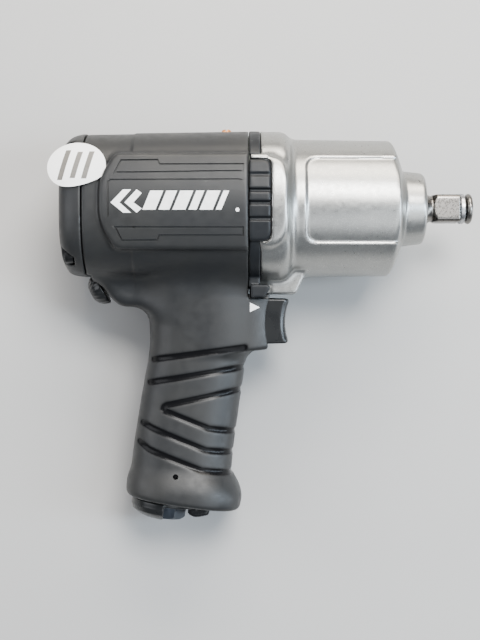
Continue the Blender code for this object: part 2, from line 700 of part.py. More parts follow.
def anvil():
    profile = [
        (-5.6, 0),
        (-5.6, ANVIL_CORE_R),
        (44.0, ANVIL_CORE_R),
        (44.0, ANVIL_SHAFT_R),
        (50.4, ANVIL_SHAFT_R),
        (50.4, 12.5),
        (52.4, 12.5),
        (52.4, ANVIL_SHAFT_R),
        (80.3, ANVIL_SHAFT_R),
        (80.6, 8.35),
        (81.6, 8.0),
        (85.0, 6.3),
        (88.0, 5.5),
        (88.0, 0),
    ]
    made = piece("anvil", turned(profile, 32), "anvil_steel", ANVIL_AXIS)
    half, corner = SQUARE / 2, 1.3
    section = []
    for quarter in range(4):
        turned_corner = arc((half - corner, half - corner), corner, 0, 90, 3)
        c, s = math.cos(quarter * math.pi / 2), math.sin(quarter * math.pi / 2)
        section += [(y * c - z * s, y * s + z * c) for y, z in turned_corner]

    def square_ring(x, share):
        return [(x, y * share, z * share) for y, z in section]

    bar = loft([square_ring(85.0, 0.80), square_ring(87.0, 1.0), square_ring(96.7, 1.0)])
    neck = tube(95, 101, 0, 4.2, 24)
    collar = loft([square_ring(100.1, 1.0), square_ring(101.8, 1.0), square_ring(ANVIL_END, 0.86)])
    lugs = [
        loft([[(x, y, z) for y, z in lug_outline(sign)] for x in span])
        for span, sign in (((-3.0, 16.0), 1), ((21.0, 41.0), -1))
    ]
    combine(made, "UNION", bar, neck, collar, *lugs)
    piece("thrust_washer", tube(52.7, 53.5, 10.0, 12.6, 32), "bronze", ANVIL_AXIS)
    piece("anvil_o_ring", tube(97.3, 99.5, 4.5, 5.5, 24), "seal_rubber", ANVIL_AXIS)
    ring = piece("friction_ring", tube(97.1, 99.7, 5.8, 7.0, 32), "tool_steel", ANVIL_AXIS)
    combine(ring, "DIFFERENCE", box((90, 105), (0, 20), (-0.9, 0.9)))


def lug_outline(sign):
    """(y, z) outline of one of the anvil's two striking lugs."""
    inner = arc((0, 0), ANVIL_CORE_R - 2, -40, 40, 2)
    outer = arc((0, 0), ANVIL_LUG_R, 30, -30, 5)
    return [(sign * y, sign * z) for y, z in inner + outer]


# ---------------------------------------------------------------- controls and air inlet


def trigger_parts():
    top, bottom = THROTTLE_Y + TRIGGER_HALF_HEIGHT, THROTTLE_Y - TRIGGER_HALF_HEIGHT
    outline = [(TRIGGER_REAR, top), (TRIGGER_REAR, bottom)]
    for i in range(9):
        share = -1 + i / 4
        outline.append(
            (
                TRIGGER_FRONT - TRIGGER_HOLLOW * (1 - share * share),
                THROTTLE_Y + share * TRIGGER_HALF_HEIGHT,
            )
        )
    body = prism(outline, -TRIGGER_HALF_WIDTH, TRIGGER_HALF_WIDTH)
    made = piece("trigger", body, "trigger_plastic", TRIGGER_AXIS)
    combine(made, "DIFFERENCE", tube(-5, 6.3, 0, 2.5, 16, THROTTLE_FRAME))
    valve = [
        (VALVE_REAR, 0),
        (VALVE_REAR, 2.0),
        (-25.3, 2.0),
        (-25.3, 5.9),
        (-21.8, 5.9),
        (-21.8, 2.2),
        (6.0, 2.2),
        (6.0, 0),
    ]
    piece("throttle_valve", turned(valve, 20, frame=THROTTLE_FRAME), "brass", TRIGGER_AXIS)
    bushing = [(-21.5, 4.6), (-21.5, 6.6), (-8.3, 6.6)]
    bushing += [(-8.3, 2.5), (-12.3, 2.5), (-12.3, 4.6)]
    piece("throttle_bushing", turned(bushing, 20, True, THROTTLE_FRAME), "brass", TOOL)
    seat = CHAMBER_REAR + GAP
    spring = coil(seat, SPRING_FRONT, SPRING_R, SPRING_WIRE_R, 4, THROTTLE_FRAME)
    piece("valve_spring", spring, "tool_steel", TOOL)


def selector_parts():
    def fluted(s, radius):
        points = []
        for i in range(48):
            turn = math.tau * i / 48
            flute = 0.45 * max(0.0, math.cos(12 * turn))
            points.append((s, (radius - flute) * math.cos(turn), (radius - flute) * math.sin(turn)))
        return points

    knob = loft([fluted(*ring) for ring in DIAL_RINGS], DIAL_FRAME)
    dial = piece("selector_dial", knob, "trigger_plastic", DIAL_AXIS)
    hole = [(-2, 0), (-2, 1.6), (5.2, 1.6), (5.2, 2.8), (12, 2.8), (12, 0)]
    combine(dial, "DIFFERENCE", turned(hole, 16, frame=DIAL_FRAME))
    valve_end = 0.4 - VALVE_BORE_DEPTH
    valve = [(valve_end, 0), (valve_end, 3.7), (0, 3.7), (0, 0)]
    valve = piece("reverse_valve", turned(valve, 16, frame=DIAL_FRAME), "brass", DIAL_AXIS)
    screw_hole = tube(-4.4, 5, 0, 1.6, 12, DIAL_FRAME)
    port = Matrix.Translation(DIAL_OUT * (-6.6 * MM)) @ aimed((*DIAL_FACE, 0), (0, 0, 1))
    combine(valve, "DIFFERENCE", screw_hole, tube(-10, 10, 0, 1.5, 12, port))
    screw = [(-4.0, 0), (-4.0, 1.3), (5.5, 1.3), (5.5, 2.4), (7.0, 2.4), (7.0, 0)]
    made = piece("dial_screw", turned(screw, 16, frame=DIAL_FRAME), "black_oxide", DIAL_AXIS)
    slot = box((6.2, 12), (-0.4, 0.4), (-5, 5))
    slot.transform(DIAL_FRAME)
    combine(made, "DIFFERENCE", slot)
    detent = beside(DIAL_FRAME, DETENT_SIDE)
    ball = bmesh.new()
    bmesh.ops.create_icosphere(ball, subdivisions=2, radius=1.2 * MM)
    ball.transform(detent @ Matrix.Translation((-1.3 * MM, 0, 0)))
    piece("detent_ball", ball, "tool_steel", TOOL)
    piece("detent_spring", coil(-4.9, -2.8, 0.85, 0.2, 3, detent, 5, 8), "tool_steel", TOOL)


def inlet_parts():
    made = piece("air_inlet", tube(-20.0, 3.0, 0, 8.3, 24, INLET_FRAME), "zinc_steel", TOOL)
    corners = arc((0, 0), 9.41, 0, 300, 6)
    hexagon = loft([[(s, y, z) for y, z in corners] for s in (2.7, 8.6)], INLET_FRAME)
    combine(made, "UNION", hexagon)
    combine(made, "DIFFERENCE", tube(-30, 20, 0, 5.7, 24, INLET_FRAME))
    screen = [(-26.5, 4.2), (-26.5, 5.0), (-20.9, 6.1), (-20.3, 6.1), (-20.3, 5.2)]
    piece("inlet_screen", turned(screen, 20, True, INLET_FRAME), "brass", TOOL)
    disc = tube(0.3, 2.3, 0, 15.6, 36, INLET_FRAME)
    deflector = piece("exhaust_deflector", disc, "trigger_plastic", DEFLECTOR_AXIS)
    outer = [(1.3, 16.0), (3.9, 16.0), (6.3, 15.3), (8.0, 12.8), (8.9, 10.4)]
    inner = [(8.0, 10.4), (6.9, 11.6), (5.6, 13.6), (3.9, 14.3), (1.3, 14.4)]
    rings = []
    for i in range(17):
        turn = math.pi * (0.02 + 0.96 * i / 16)
        rings.append([(s, -r * math.sin(turn), r * math.cos(turn)) for s, r in outer + inner])
    spout = [(0.8, 12), (5.4, 12), (6.6, 13.6), (6.0, 16.7), (3.9, 20.8), (0.8, 20.8)]
    combine(deflector, "UNION", loft(rings, INLET_FRAME), prism(spout, -7, 7, INLET_FRAME))
    slots = [tube(-3, 12, 0, 2.0, 12, beside(INLET_FRAME, s * EXHAUST_SIDE)) for s in (1, -1)]
    outlet = prism([(1.8, 10), (4.4, 10), (3.2, 25), (1.8, 25)], -5.6, 5.6, INLET_FRAME)
    combine(deflector, "DIFFERENCE", tube(-3, 6, 0, 8.8, 32, INLET_FRAME), outlet, *slots)


# ---------------------------------------------------------------- assembly

for old in list(bpy.data.objects):
    bpy.data.objects.remove(old)

TOOL = empty("tool")
ROTOR_AXIS = empty("rotor_axis", TOOL)
REAR_BALLS_AXIS = empty("rear_balls_axis", TOOL)
FRONT_BALLS_AXIS = empty("front_balls_axis", TOOL)
ANVIL_AXIS = empty("anvil_axis", TOOL)
HAMMER_A_AXIS = empty("hammer_a_axis", TOOL, on_axis(0, PIN_OUT))
HAMMER_B_AXIS = empty("hammer_b_axis", TOOL, on_axis(0, -PIN_OUT))
TRIGGER_AXIS = empty("trigger_axis", TOOL, THROTTLE_FRAME)
DIAL_AXIS = empty("dial_axis", TOOL, DIAL_FRAME)
DEFLECTOR_AXIS = empty("deflector_axis", TOOL, INLET_FRAME)

motor_housing()
rear_cap()
gasket("rear_gasket", -75.3, -74.8, 33.4, 34.6, 28.2)
gasket("front_gasket", -0.5, 0.0, 32.9, 34.1, 28.9)
cap_screws()
hammer_case()
front_bumper()
nose_parts()
trim()
motor_stator()
rotor_parts()
hammer_cage()
hammer("hammer_a", CAGE_WINDOW[0] + GAP, 1, HAMMER_A_AXIS)
hammer("hammer_b", CAGE_WINDOW[1] - GAP - HAMMER_LENGTH, -1, HAMMER_B_AXIS)
anvil()
trigger_parts()
selector_parts()
inlet_parts()
smooth_round_faces()


def lay_down():
    """Rolls the tool onto its side and puts the origin under the middle of its bounding box."""
    TOOL.matrix_world = Matrix.Rotation(math.radians(REST_ROLL_DEG), 4, "X")
    bpy.context.view_layer.update()
    points = [
        made.matrix_world @ vertex.co
        for made in bpy.context.scene.objects
        if made.type == "MESH"
        for vertex in made.data.vertices
    ]
    low = Vector(map(min, *points))
    high = Vector(map(max, *points))
    middle = Vector(((low.x + high.x) / 2, (low.y + high.y) / 2, low.z))
    TOOL.location = -middle


lay_down()
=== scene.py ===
"""Looks of the pneumatic impact wrench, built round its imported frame.

Shapes are given in the tool frame, in millimetres: X runs along the drive axis towards the
anvil, Y from the grip up to the barrel, Z out of the right side, and x = 0 is where the
hammer case meets the motor housing. Moulded and cast pieces are distance fields, turned into
meshes by surface nets; turned and flat pieces are built point by point.
"""

import json
import math

import bmesh
import bpy
import numpy as np
from mathutils import Matrix, Vector


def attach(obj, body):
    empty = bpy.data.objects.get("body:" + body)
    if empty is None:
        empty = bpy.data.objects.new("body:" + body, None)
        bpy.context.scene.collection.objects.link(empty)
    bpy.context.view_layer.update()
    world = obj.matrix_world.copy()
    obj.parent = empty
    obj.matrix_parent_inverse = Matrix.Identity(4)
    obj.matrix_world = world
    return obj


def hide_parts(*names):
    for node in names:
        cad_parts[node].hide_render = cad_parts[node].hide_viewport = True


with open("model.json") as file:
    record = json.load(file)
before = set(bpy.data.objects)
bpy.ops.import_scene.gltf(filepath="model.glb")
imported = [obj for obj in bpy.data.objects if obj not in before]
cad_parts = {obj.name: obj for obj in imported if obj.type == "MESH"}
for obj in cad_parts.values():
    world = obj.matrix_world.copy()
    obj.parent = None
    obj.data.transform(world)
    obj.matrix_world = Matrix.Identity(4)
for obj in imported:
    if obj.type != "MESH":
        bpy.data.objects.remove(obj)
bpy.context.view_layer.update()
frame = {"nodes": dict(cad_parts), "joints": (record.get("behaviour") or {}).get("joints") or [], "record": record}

MM = 0.001
JOINTS = {joint["name"]: joint for joint in frame["joints"]}

# Motor housing
HOUSING_REAR, HOUSING_FRONT = -73.3, -0.5
CAP_FRONT = -73.7
BARREL_POWER = 2.6
BARREL_REAR_HALF, BARREL_FRONT_HALF = 33.3, 34.7
BARREL_STEP_X, BARREL_STEP = -51.7, 0.4
BARREL_WIDER = 1.2  # half width over half height
SIDE_REACH, CROWN_R = 37.6, 62.0
PANEL_HALF_HEIGHT = 21.0
MOTOR_BORE_R = 28.0
BOLT_CENTRE, BOLT_HOLE_R = 22.9, 2.3
REAR_BELLY = -31.2

# Grip: (y, back x, front x, half width) of its level sections
GRIP_SECTIONS = (
    (-16.0, -43.5, -2.0, 17.0),
    (-38.0, -46.0, 0.6, 18.2),
    (-52.0, -46.1, 1.0, 17.8),
    (-62.0, -45.9, 0.8, 17.5),
    (-70.2, -46.8, -1.7, 17.2),
    (-88.8, -50.3, -4.4, 17.4),
    (-107.4, -53.2, -7.0, 18.0),
    (-119.0, -54.6, -8.2, 18.8),
    (-122.0, -55.9, -7.9, 19.8),
    (-125.5, -56.7, -5.8, 21.3),
    (-129.0, -56.9, -4.2, 22.2),
    (-133.0, -56.6, -3.4, 22.5),
    (-139.0, -55.0, -4.6, 22.2),
    (-146.0, -52.5, -6.6, 21.0),
)
GRIP_POWER = 2.7
INLET_FOOT, INLET_LEAN_DEG = (-38.2, -134.0), 8.3
GROOVES = (
    ((-43.3, -69.4), (-2.3, -63.9)),
    ((-45.1, -79.8), (-2.2, -72.8)),
    ((-37.2, -89.9), (-3.4, -82.9)),
    ((-37.2, -89.9), (-38.4, -90.6), (-38.7, -91.5), (-38.2, -92.4))
    + ((-18.3, -100.5), (-5.6, -102.4)),
    ((-48.3, -98.0), (-44.0, -100.2), (-19.7, -110.2), (-7.2, -111.8)),
    ((-49.7, -106.6), (-45.4, -109.8), (-21.8, -119.1), (-8.2, -121.1)),
)
GROOVE_DEPTH, GROOVE_HALF_WIDTH, GROOVE_SLOPE = 0.52, 1.15, 0.26
INLET_PIN, OIL_PLUG_X = (-33.1, -121.8), -10.6

# Trigger and its shroud
THROTTLE_Y = -51.6
TRIGGER_MIDDLE = -52.0
TRIGGER_HALF_HEIGHT, TRIGGER_HALF_WIDTH = 10.7, 8.0
TRIGGER_ROOM = 0.3
SHROUD_TOP, SHROUD_BOTTOM = -39.9, -65.8

# Selector dial
DIAL_FACE, DIAL_SLOPE_DEG, DIAL_ROOM_R = (-66.9, -36.1), 27.8, 7.95

# Hammer case
NOSE_FRONT, NOSE_BORE_R = 80.5, 13.1
CAVITY_FRONT, CAVITY_R = 53.5, 26.9
CASE_R_REAR, CASE_R_FRONT = 31.8, 31.2
DOME_CENTRE, DOME_R, DOME_BULGE = 7.55, 64.7, 1.9
BAND_REAR, BAND_FRONT = -0.3, 4.7
SILVER_BAR = (18.5, 20.4)  # the case shows through the band here
TAB = ((0.5, -35.7), (0.5, -41.5), (6.6, -41.5), (9.4, -37.1), (8.2, -35.7))

# Lines cut into each side panel, and the print on it
PANEL_LINES = (
    ((-50, 12.1), (-58.3, 12.1), (-55.7, 17.5), (-40.1, 17.7))
    + ((-39.2, 15.7), (-3, 15.8), (-3, 12.8), (-50, 12.1)),
    ((-50, -11.5), (-58.1, -11.5), (-55.4, -17.2), (-40.1, -17.0))
    + ((-39.2, -15), (-3, -14.9), (-3, -11.6), (-50, -11.5)),
    ((-61.2, -7.0), (-61.2, 7.3), (-60.9, 8.2), (-60.0, 8.8), (-4.4, 9.0), (-3.4, 8.6)),
)
CHEVRONS = (
    ((-60.0, -1.0), (-54.6, -5.4), (-51.2, -5.4), (-56.2, -1.0), (-51.2, 4.6), (-54.6, 4.6)),
    ((-54.0, -1.0), (-48.8, -5.4), (-46.6, -3.6), (-50.2, -1.0), (-46.6, 3.0), (-48.8, 4.6)),
)
STRIPES_START, STRIPE_WIDTHS, STRIPE_GAP = -44.6, (5.6, 4.6, 5.6, 3.4, 5.6, 2.4), 1.35
STRIPE_HALF_HEIGHT, STRIPE_SLANT = 4.1, 1.7
DOT_CENTRE, DOT_SCALE = (-5.4, -4.1), 0.9
TRIGGER_MARK = ((0.2, -48.0), (4.6, -45.9), (0.2, -43.8))
PRINT_SUNK, PRINT_PROUD = -0.1, 0.06

# Round label: (x, half length) of its bars
STICKER_CENTRE, STICKER_R = (-75.4, 15.2), 12.9
LABEL_BARS = ((-80.8, 6.8), (-75.4, 6.0), (-70.4, 6.2))

# Anvil, whose lugs are (x span, side)
SQUARE = 12.7
ANVIL_END = 103.0
ANVIL_CORE_R, ANVIL_SHAFT_R, ANVIL_SHOULDER_R = 8.5, 9.6, 12.5
ANVIL_LUG_ROOT_R, ANVIL_LUG_R = 6.5, 11.4
ANVIL_LUGS = (((-3.0, 16.0), 1), ((21.0, 41.0), -1))

# Stage: the floor's size and the place that the lights face are in metres
FLOOR_HALF_SIZE, LIT_PLACE = 12.0, (0.0, 0.0, 0.03)
CAMERA_PLACE, CAMERA_LENS, CAMERA_SENSOR = (-4.3, -51.6, 500.0), 60.47, 36.0


# ---- frames


def tool_to_world():
    """Tool-frame millimetres to world metres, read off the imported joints."""
    axis = JOINTS["deflector_swivel"]["axis"]
    roll = math.atan2(-axis[2], -axis[1])
    origin = Vector(JOINTS["rotor_spin"]["pos_m"])
    return Matrix.Translation(origin) @ Matrix.Rotation(roll, 4, "X") @ Matrix.Scale(MM, 4)


def aimed(origin, direction):
    """Frame whose X points along direction and whose Z is the tool frame's, where it can be."""
    turn = Vector(direction).to_track_quat("X", "Z").to_matrix().to_4x4()
    return Matrix.Translation(Vector(origin)) @ turn


TO_WORLD = tool_to_world()
LEAN, SLOPE = math.radians(INLET_LEAN_DEG), math.radians(DIAL_SLOPE_DEG)
INLET_DOWN = (-math.sin(LEAN), -math.cos(LEAN), 0.0)
INLET_FRAME = aimed((*INLET_FOOT, 0.0), INLET_DOWN)
DIAL_OUT = (-math.cos(SLOPE), -math.sin(SLOPE), 0.0)
DIAL_FRAME = aimed((*DIAL_FACE, 0.0), DIAL_OUT)
THROTTLE_FRAME = aimed((0, THROTTLE_Y, 0), (1, 0, 0))
INLET_PIN_FRAME = aimed((*INLET_PIN, 0), (0, 0, 1))
OIL_PLUG_FRAME = aimed((OIL_PLUG_X, 0, 0), (0, 1, 0))
CORNERS = [(y, z) for y in (BOLT_CENTRE, -BOLT_CENTRE) for z in (BOLT_CENTRE, -BOLT_CENTRE)]


# ---- distance fields


def join(a, b, blend):
    """Union of two fields, with a fillet where they meet."""
    h = np.maximum(blend - np.abs(a - b), 0.0) / blend
    return np.minimum(a, b) - h * h * blend / 4


def both(a, b, blend):
    """Intersection of two fields, with a rounded edge."""
    return -join(-a, -b, blend)


def carve(a, b, blend):
    """Field a less field b, with a rounded edge."""
    return -join(-a, b, blend)


def slab(value, low, high):
    return np.maximum(low - value, value - high)


def block(x, y, z, spans, blend):
    """Box between three (low, high) spans."""
    faces = [slab(value, *span) for value, span in zip((x, y, z), spans, strict=True)]
    return both(both(faces[0], faces[1], blend), faces[2], blend)


def squircle(u, v, half_u, half_v, power):
    """Superellipse about the origin."""
    u, v = np.abs(u) / half_u + 1e-6, np.abs(v) / half_v + 1e-6
    rho = (u**power + v**power) ** (1 / power)
    slope = rho ** (1 - power) * np.hypot(u ** (power - 1) / half_u, v ** (power - 1) / half_v)
    return (rho - 1) / slope


def convex(u, v, corners, blend):
    """Convex polygon, whose corners run anticlockwise, with rounded corners."""
    field = None
    for (u0, v0), (u1, v1) in zip(corners, (*corners[1:], corners[0]), strict=True):
        length = math.hypot(u1 - u0, v1 - v0)
        side = ((u - u0) * (v1 - v0) - (v - v0) * (u1 - u0)) / length
        field = side if field is None else both(field, side, blend)
    return field


def line_distance(u, v, points):
    """Distance to an open polyline."""
    nearest = None
    for (u0, v0), (u1, v1) in zip(points, points[1:], strict=False):
        du, dv = u1 - u0, v1 - v0
        along = np.clip(((u - u0) * du + (v - v0) * dv) / (du * du + dv * dv), 0.0, 1.0)
        here = np.hypot(u - u0 - along * du, v - v0 - along * dv)
        nearest = here if nearest is None else np.minimum(nearest, here)
    return nearest


def into(matrix, x, y, z):
    """The same points in that frame's own coordinates."""
    inverse = matrix.inverted()
    return [row[0] * x + row[1] * y + row[2] * z + row[3] for row in inverse][:3]


def moved_by(matrix, points):
    """Rows of points carried by a matrix."""
    matrix = np.array(matrix)
    return points @ matrix[:3, :3].T + matrix[:3, 3]


def smooth_table(rows, spread):
    """Columns of a table against its first one, with their corners eased over the spread."""
    rows = np.array(sorted(rows))
    at = np.arange(rows[0, 0], rows[-1, 0], spread / 8)
    weights = np.hanning(17)[1:-1]
    columns = []
    for column in rows.T[1:]:
        line = np.pad(np.interp(at, rows[:, 0], column), 7, "edge")
        columns.append(np.convolve(line, weights / weights.sum(), "valid"))
    return at, columns


# ---- fields to meshes


def gradient(field, points, reach=0.02):
    slopes = []
    for axis in range(3):
        ahead, behind = list(points), list(points)
        ahead[axis] = points[axis] + reach
        behind[axis] = points[axis] - reach
        slopes.append((field(*ahead) - field(*behind)) / (2 * reach))
    return slopes


def settle(field, points, furthest):
    """Moves each point onto the surface where the field is zero."""
    value = field(*points)
    slopes = gradient(field, points)
    steepness = sum(s * s for s in slopes) + 1e-9
    step = np.clip(value / steepness, -furthest, furthest)
    return [p - step * s for p, s in zip(points, slopes, strict=True)]


def relax(points, faces, share):
    """Moves each point towards the middle of its neighbours."""
    ends = np.concatenate([faces[:, [0, 1]], faces[:, [1, 2]], faces[:, [2, 3]], faces[:, [3, 0]]])
    count = np.bincount(ends[:, 0], minlength=len(points[0]))
    moved = []
    for p in points:
        middle = np.bincount(ends[:, 0], p[ends[:, 1]], len(p)) / np.maximum(count, 1)
        moved.append(p + share * (middle - p))
    return moved


def net(field, spans, cell):
    """Closed mesh where the field is zero, as (points, quads)."""
    axes = [np.arange(low, high + cell, cell) for low, high in spans]
    grid = np.meshgrid(*axes, indexing="ij", sparse=True)
    shape = tuple(len(axis) for axis in axes)
    values = np.broadcast_to(field(*grid), shape)
    inside = values < 0
    counts = sum(
        inside[i : shape[0] - 1 + i, j : shape[1] - 1 + j, k : shape[2] - 1 + k].astype(np.int8)
        for i in (0, 1)
        for j in (0, 1)
        for k in (0, 1)
    )
    active = (counts > 0) & (counts < 8)
    ids = np.full(active.shape, -1)
    ids[active] = np.arange(active.sum())
    total, weight, quads = np.zeros((3, active.sum())), np.zeros(active.sum()), []
    for axis in range(3):
        near = [slice(None)] * 3
        far = [slice(None)] * 3
        near[axis], far[axis] = slice(None, -1), slice(1, None)
        at = np.array(np.nonzero(inside[tuple(near)] != inside[tuple(far)]))
        beyond = at.copy()
        beyond[axis] += 1
        a, b = values[tuple(at)], values[tuple(beyond)]
        place = [axes[k][at[k]] for k in range(3)]
        place[axis] = place[axis] + cell * a / (a - b)
        one, two = (axis + 1) % 3, (axis + 2) % 3
        around = []
        for back_one, back_two in ((0, 0), (1, 0), (1, 1), (0, 1)):
            cells = at.copy()
            cells[one] -= back_one
            cells[two] -= back_two
            around.append(ids[tuple(cells)])
        for corner in around:
            weight += np.bincount(corner, minlength=len(weight))
            for k in range(3):
                total[k] += np.bincount(corner, place[k], len(weight))
        quad = np.stack(around, 1)
        quads.append(np.where((a < 0)[:, None], quad, quad[:, ::-1]))
    faces = np.concatenate(quads)
    points = list(total / weight)
    for _ in range(2):
        points = relax(settle(field, points, 0.6 * cell), faces, 0.4)
    for _ in range(2):
        points = settle(field, points, 0.5 * cell)
    return np.stack(points, 1), faces


# ---- meshes


def in_scene(name, data):
    made = bpy.data.objects.new(name, data)
    bpy.context.scene.collection.objects.link(made)
    return made


def mesh_of(name, points, faces):
    """Mesh object from tool-frame points, shaded smooth."""
    mesh = bpy.data.meshes.new(name)
    mesh.from_pydata(np.asarray(points, float).tolist(), [], np.asarray(faces).tolist())
    mesh.transform(TO_WORLD)
    mesh.shade_smooth()
    return in_scene(name, mesh)


def moulded(name, field, spans, cell, frame_of=None):
    """Mesh object round a field in the tool frame, or in that frame's own."""
    points, faces = net(field, spans, cell)
    if frame_of:
        points = moved_by(frame_of, points)
    return mesh_of(name, points, faces)


def solid_of(name, bm, frame_of=None, sharp_deg=30):
    """Mesh object from a bmesh in tool-frame millimetres, or in that frame's own."""
    bm.normal_update()
    bmesh.ops.recalc_face_normals(bm, faces=bm.faces)
    if frame_of:
        bm.transform(frame_of)
    bm.transform(TO_WORLD)
    mesh = bpy.data.meshes.new(name)
    bm.to_mesh(mesh)
    bm.free()
    mesh.shade_smooth()
    mesh.set_sharp_from_angle(angle=math.radians(sharp_deg))
    return in_scene(name, mesh)


def loft(rings, closed=False):
    """Skin over rings of (x, y, z) points, with flat ends, or joined round where closed."""
    bm = bmesh.new()
    loops = [[bm.verts.new(point) for point in ring] for ring in rings]
    follow = list(zip(loops, loops[1:], strict=False))
    if closed:
        follow.append((loops[-1], loops[0]))
    for here, there in follow:
        for i in range(len(here)):
            j = (i + 1) % len(here)
            bm.faces.new((here[i], here[j], there[j], there[i]))
    if not closed:
        bm.faces.new(loops[0])
        bm.faces.new(loops[-1])
    return bm


def turned(profile, steps=96, ring=False):
    """Body turned about X from (x, radius) points."""
    bm = bmesh.new()
    points = [bm.verts.new((x, r, 0.0)) for x, r in profile]
    pairs = list(zip(points, points[1:], strict=False))
    if ring:
        pairs.append((points[-1], points[0]))
    edges = [bm.edges.new(pair) for pair in pairs]
    bmesh.ops.spin(
        bm, geom=points + edges, axis=(1, 0, 0), cent=(0, 0, 0), angle=math.tau, steps=steps
    )
    bmesh.ops.remove_doubles(bm, verts=bm.verts, dist=1e-3)
    return bm


def rounded(profile, radius, steps=3):
    """The same open profile with its inner corners rounded."""
    points = [profile[0]]
    for before, at, after in zip(profile, profile[1:], profile[2:], strict=False):
        before, at, after = Vector(before), Vector(at), Vector(after)
        back, ahead = before - at, after - at
        reach = min(radius, back.length * 0.45, ahead.length * 0.45)
        start, end = at + back.normalized() * reach, at + ahead.normalized() * reach
        for i in range(steps + 1):
            t = i / steps
            points.append(tuple(start * (1 - t) ** 2 + at * 2 * t * (1 - t) + end * t * t))
    points.append(profile[-1])
    return points


def rod(x0, x1, radius, steps=32):
    return turned([(x0, 0), (x0, radius), (x1, radius), (x1, 0)], steps)


def extruded(outline, low, high):
    """Body along X with a (y, z) outline."""
    return loft([[(x, y, z) for y, z in outline] for x in (low, high)])


def driver_slot(half_width, half_length, low, high):
    """Body that cuts a screwdriver slot into a head between two heights."""
    w, h = half_width, half_length
    return extruded(((-w, -h), (w, -h), (w, h), (-w, h)), low, high)


def hexagon(across_flats, turn_deg=0.0):
    radius = across_flats / math.sqrt(3)
    turns = [math.radians(turn_deg + 60 * i) for i in range(6)]
    return [(radius * math.cos(turn), radius * math.sin(turn)) for turn in turns]


def cut(made, *tools, operation="DIFFERENCE"):
    """Cuts tool-frame bodies from a piece, or joins them to it, and removes them."""
    for tool in tools:
        other = solid_of("tool", tool)
        modifier = made.modifiers.new("cut", "BOOLEAN")
        modifier.operation = operation
        modifier.solver = "MANIFOLD"
        modifier.object = other
        graph = bpy.context.evaluated_depsgraph_get()
        result = bpy.data.meshes.new_from_object(made.evaluated_get(graph))
        made.modifiers.clear()
        made.data = result
        bpy.data.objects.remove(other)
    return made


def placed(bm, matrix):
    bm.transform(matrix)
    return bm


def at_side(y, z):
    return Matrix.Translation((0.0, y, z))


def bolt_holes(low, high):
    return [placed(rod(low, high, BOLT_HOLE_R), at_side(y, z)) for y, z in CORNERS]


def sharpen(made, degrees):
    """Marks the corners left by cutting, so that flat faces stay flat."""
    made.data.shade_smooth()
    made.data.set_sharp_from_angle(angle=math.radians(degrees))
    return made


# ---- motor housing


GRIP_AT, (GRIP_BACK, GRIP_FRONT, GRIP_WIDTH) = smooth_table(GRIP_SECTIONS, 3.0)


def barrel_half_height(x):
    slope = (BARREL_FRONT_HALF - BARREL_STEP - BARREL_REAR_HALF) / (HOUSING_FRONT - HOUSING_REAR)
    step = BARREL_STEP / (1 + np.exp(-(x - BARREL_STEP_X) / 0.12))
    return BARREL_REAR_HALF + slope * (x - HOUSING_REAR) + step


def barrel_skin(y, z, half_height):
    """Endless barrel of that half height."""
    return squircle(y, z, half_height, half_height + BARREL_WIDER, BARREL_POWER)


def barrel_field(x, y, z):
    skin = both(barrel_skin(y, z, barrel_half_height(x)), HOUSING_REAR - x, 1.3)
    return both(skin, x - HOUSING_FRONT, 0.3)


def crown_field(y, across):
    """The cylinder that side panels and bumper pads share on each side."""
    return np.hypot(y, across - (SIDE_REACH - CROWN_R)) - CROWN_R


def panel_field(x, y, across):
    corners = [
        (-65.4, -9.1),
        (-58.9, -PANEL_HALF_HEIGHT),
        (6.0, -PANEL_HALF_HEIGHT),
        (6.0, PANEL_HALF_HEIGHT),
        (-58.9, PANEL_HALF_HEIGHT),
        (-65.4, 9.1),
    ]
    outline = both(convex(x, y, corners, 3.0), x - HOUSING_FRONT, 0.6)
    return both(both(crown_field(y, across), outline, 1.8), 24.0 - across, 1.0)


def grip_field(x, y, across):
    back = np.interp(y, GRIP_AT, GRIP_BACK)
    front = np.interp(y, GRIP_AT, GRIP_FRONT)
    width = np.interp(y, GRIP_AT, GRIP_WIDTH)
    skin = squircle(x - (back + front) / 2, across, (front - back) / 2, width, GRIP_POWER)
    return both(skin, y - GRIP_SECTIONS[0][0], 2.0)


def shroud_field(x, y, across):
    """The housing's sides and lip round the trigger."""
    front = 7.0 + 2.0 * ((y + 53.2) / 12.0) ** 2
    skin = squircle(x + 8.0, across, 24.0, 16.6, GRIP_POWER)
    edge = np.maximum(x - front, (x - front + across - 15.4) * 0.7071)
    skin = both(skin, edge, 0.5)
    bottom = SHROUD_BOTTOM + 0.1 * np.clip(x, 0.0, 10.0)
    return both(skin, np.maximum(bottom - y, y - GRIP_SECTIONS[0][0]), 2.4)


def web_field(x, y, across):
    corners = [
        (-71.2, -27.9),
        (-64.2, -41.1),
        (-58.6, -45.6),
        (-50.0, -46.1),
        (-38.0, -46.3),
        (-38.0, -20.0),
        (-71.2, -20.0),
    ]
    return both(convex(x, y, corners, 1.5), across - 12.0, 5.0)


def groove_depth(x, y):
    depth = 0.0
    for groove in GROOVES:
        outside = (line_distance(x, y, groove) - GROOVE_HALF_WIDTH) / GROOVE_SLOPE
        depth = np.maximum(depth, GROOVE_DEPTH / (1 + np.exp(np.minimum(outside, 50.0))))
    return depth


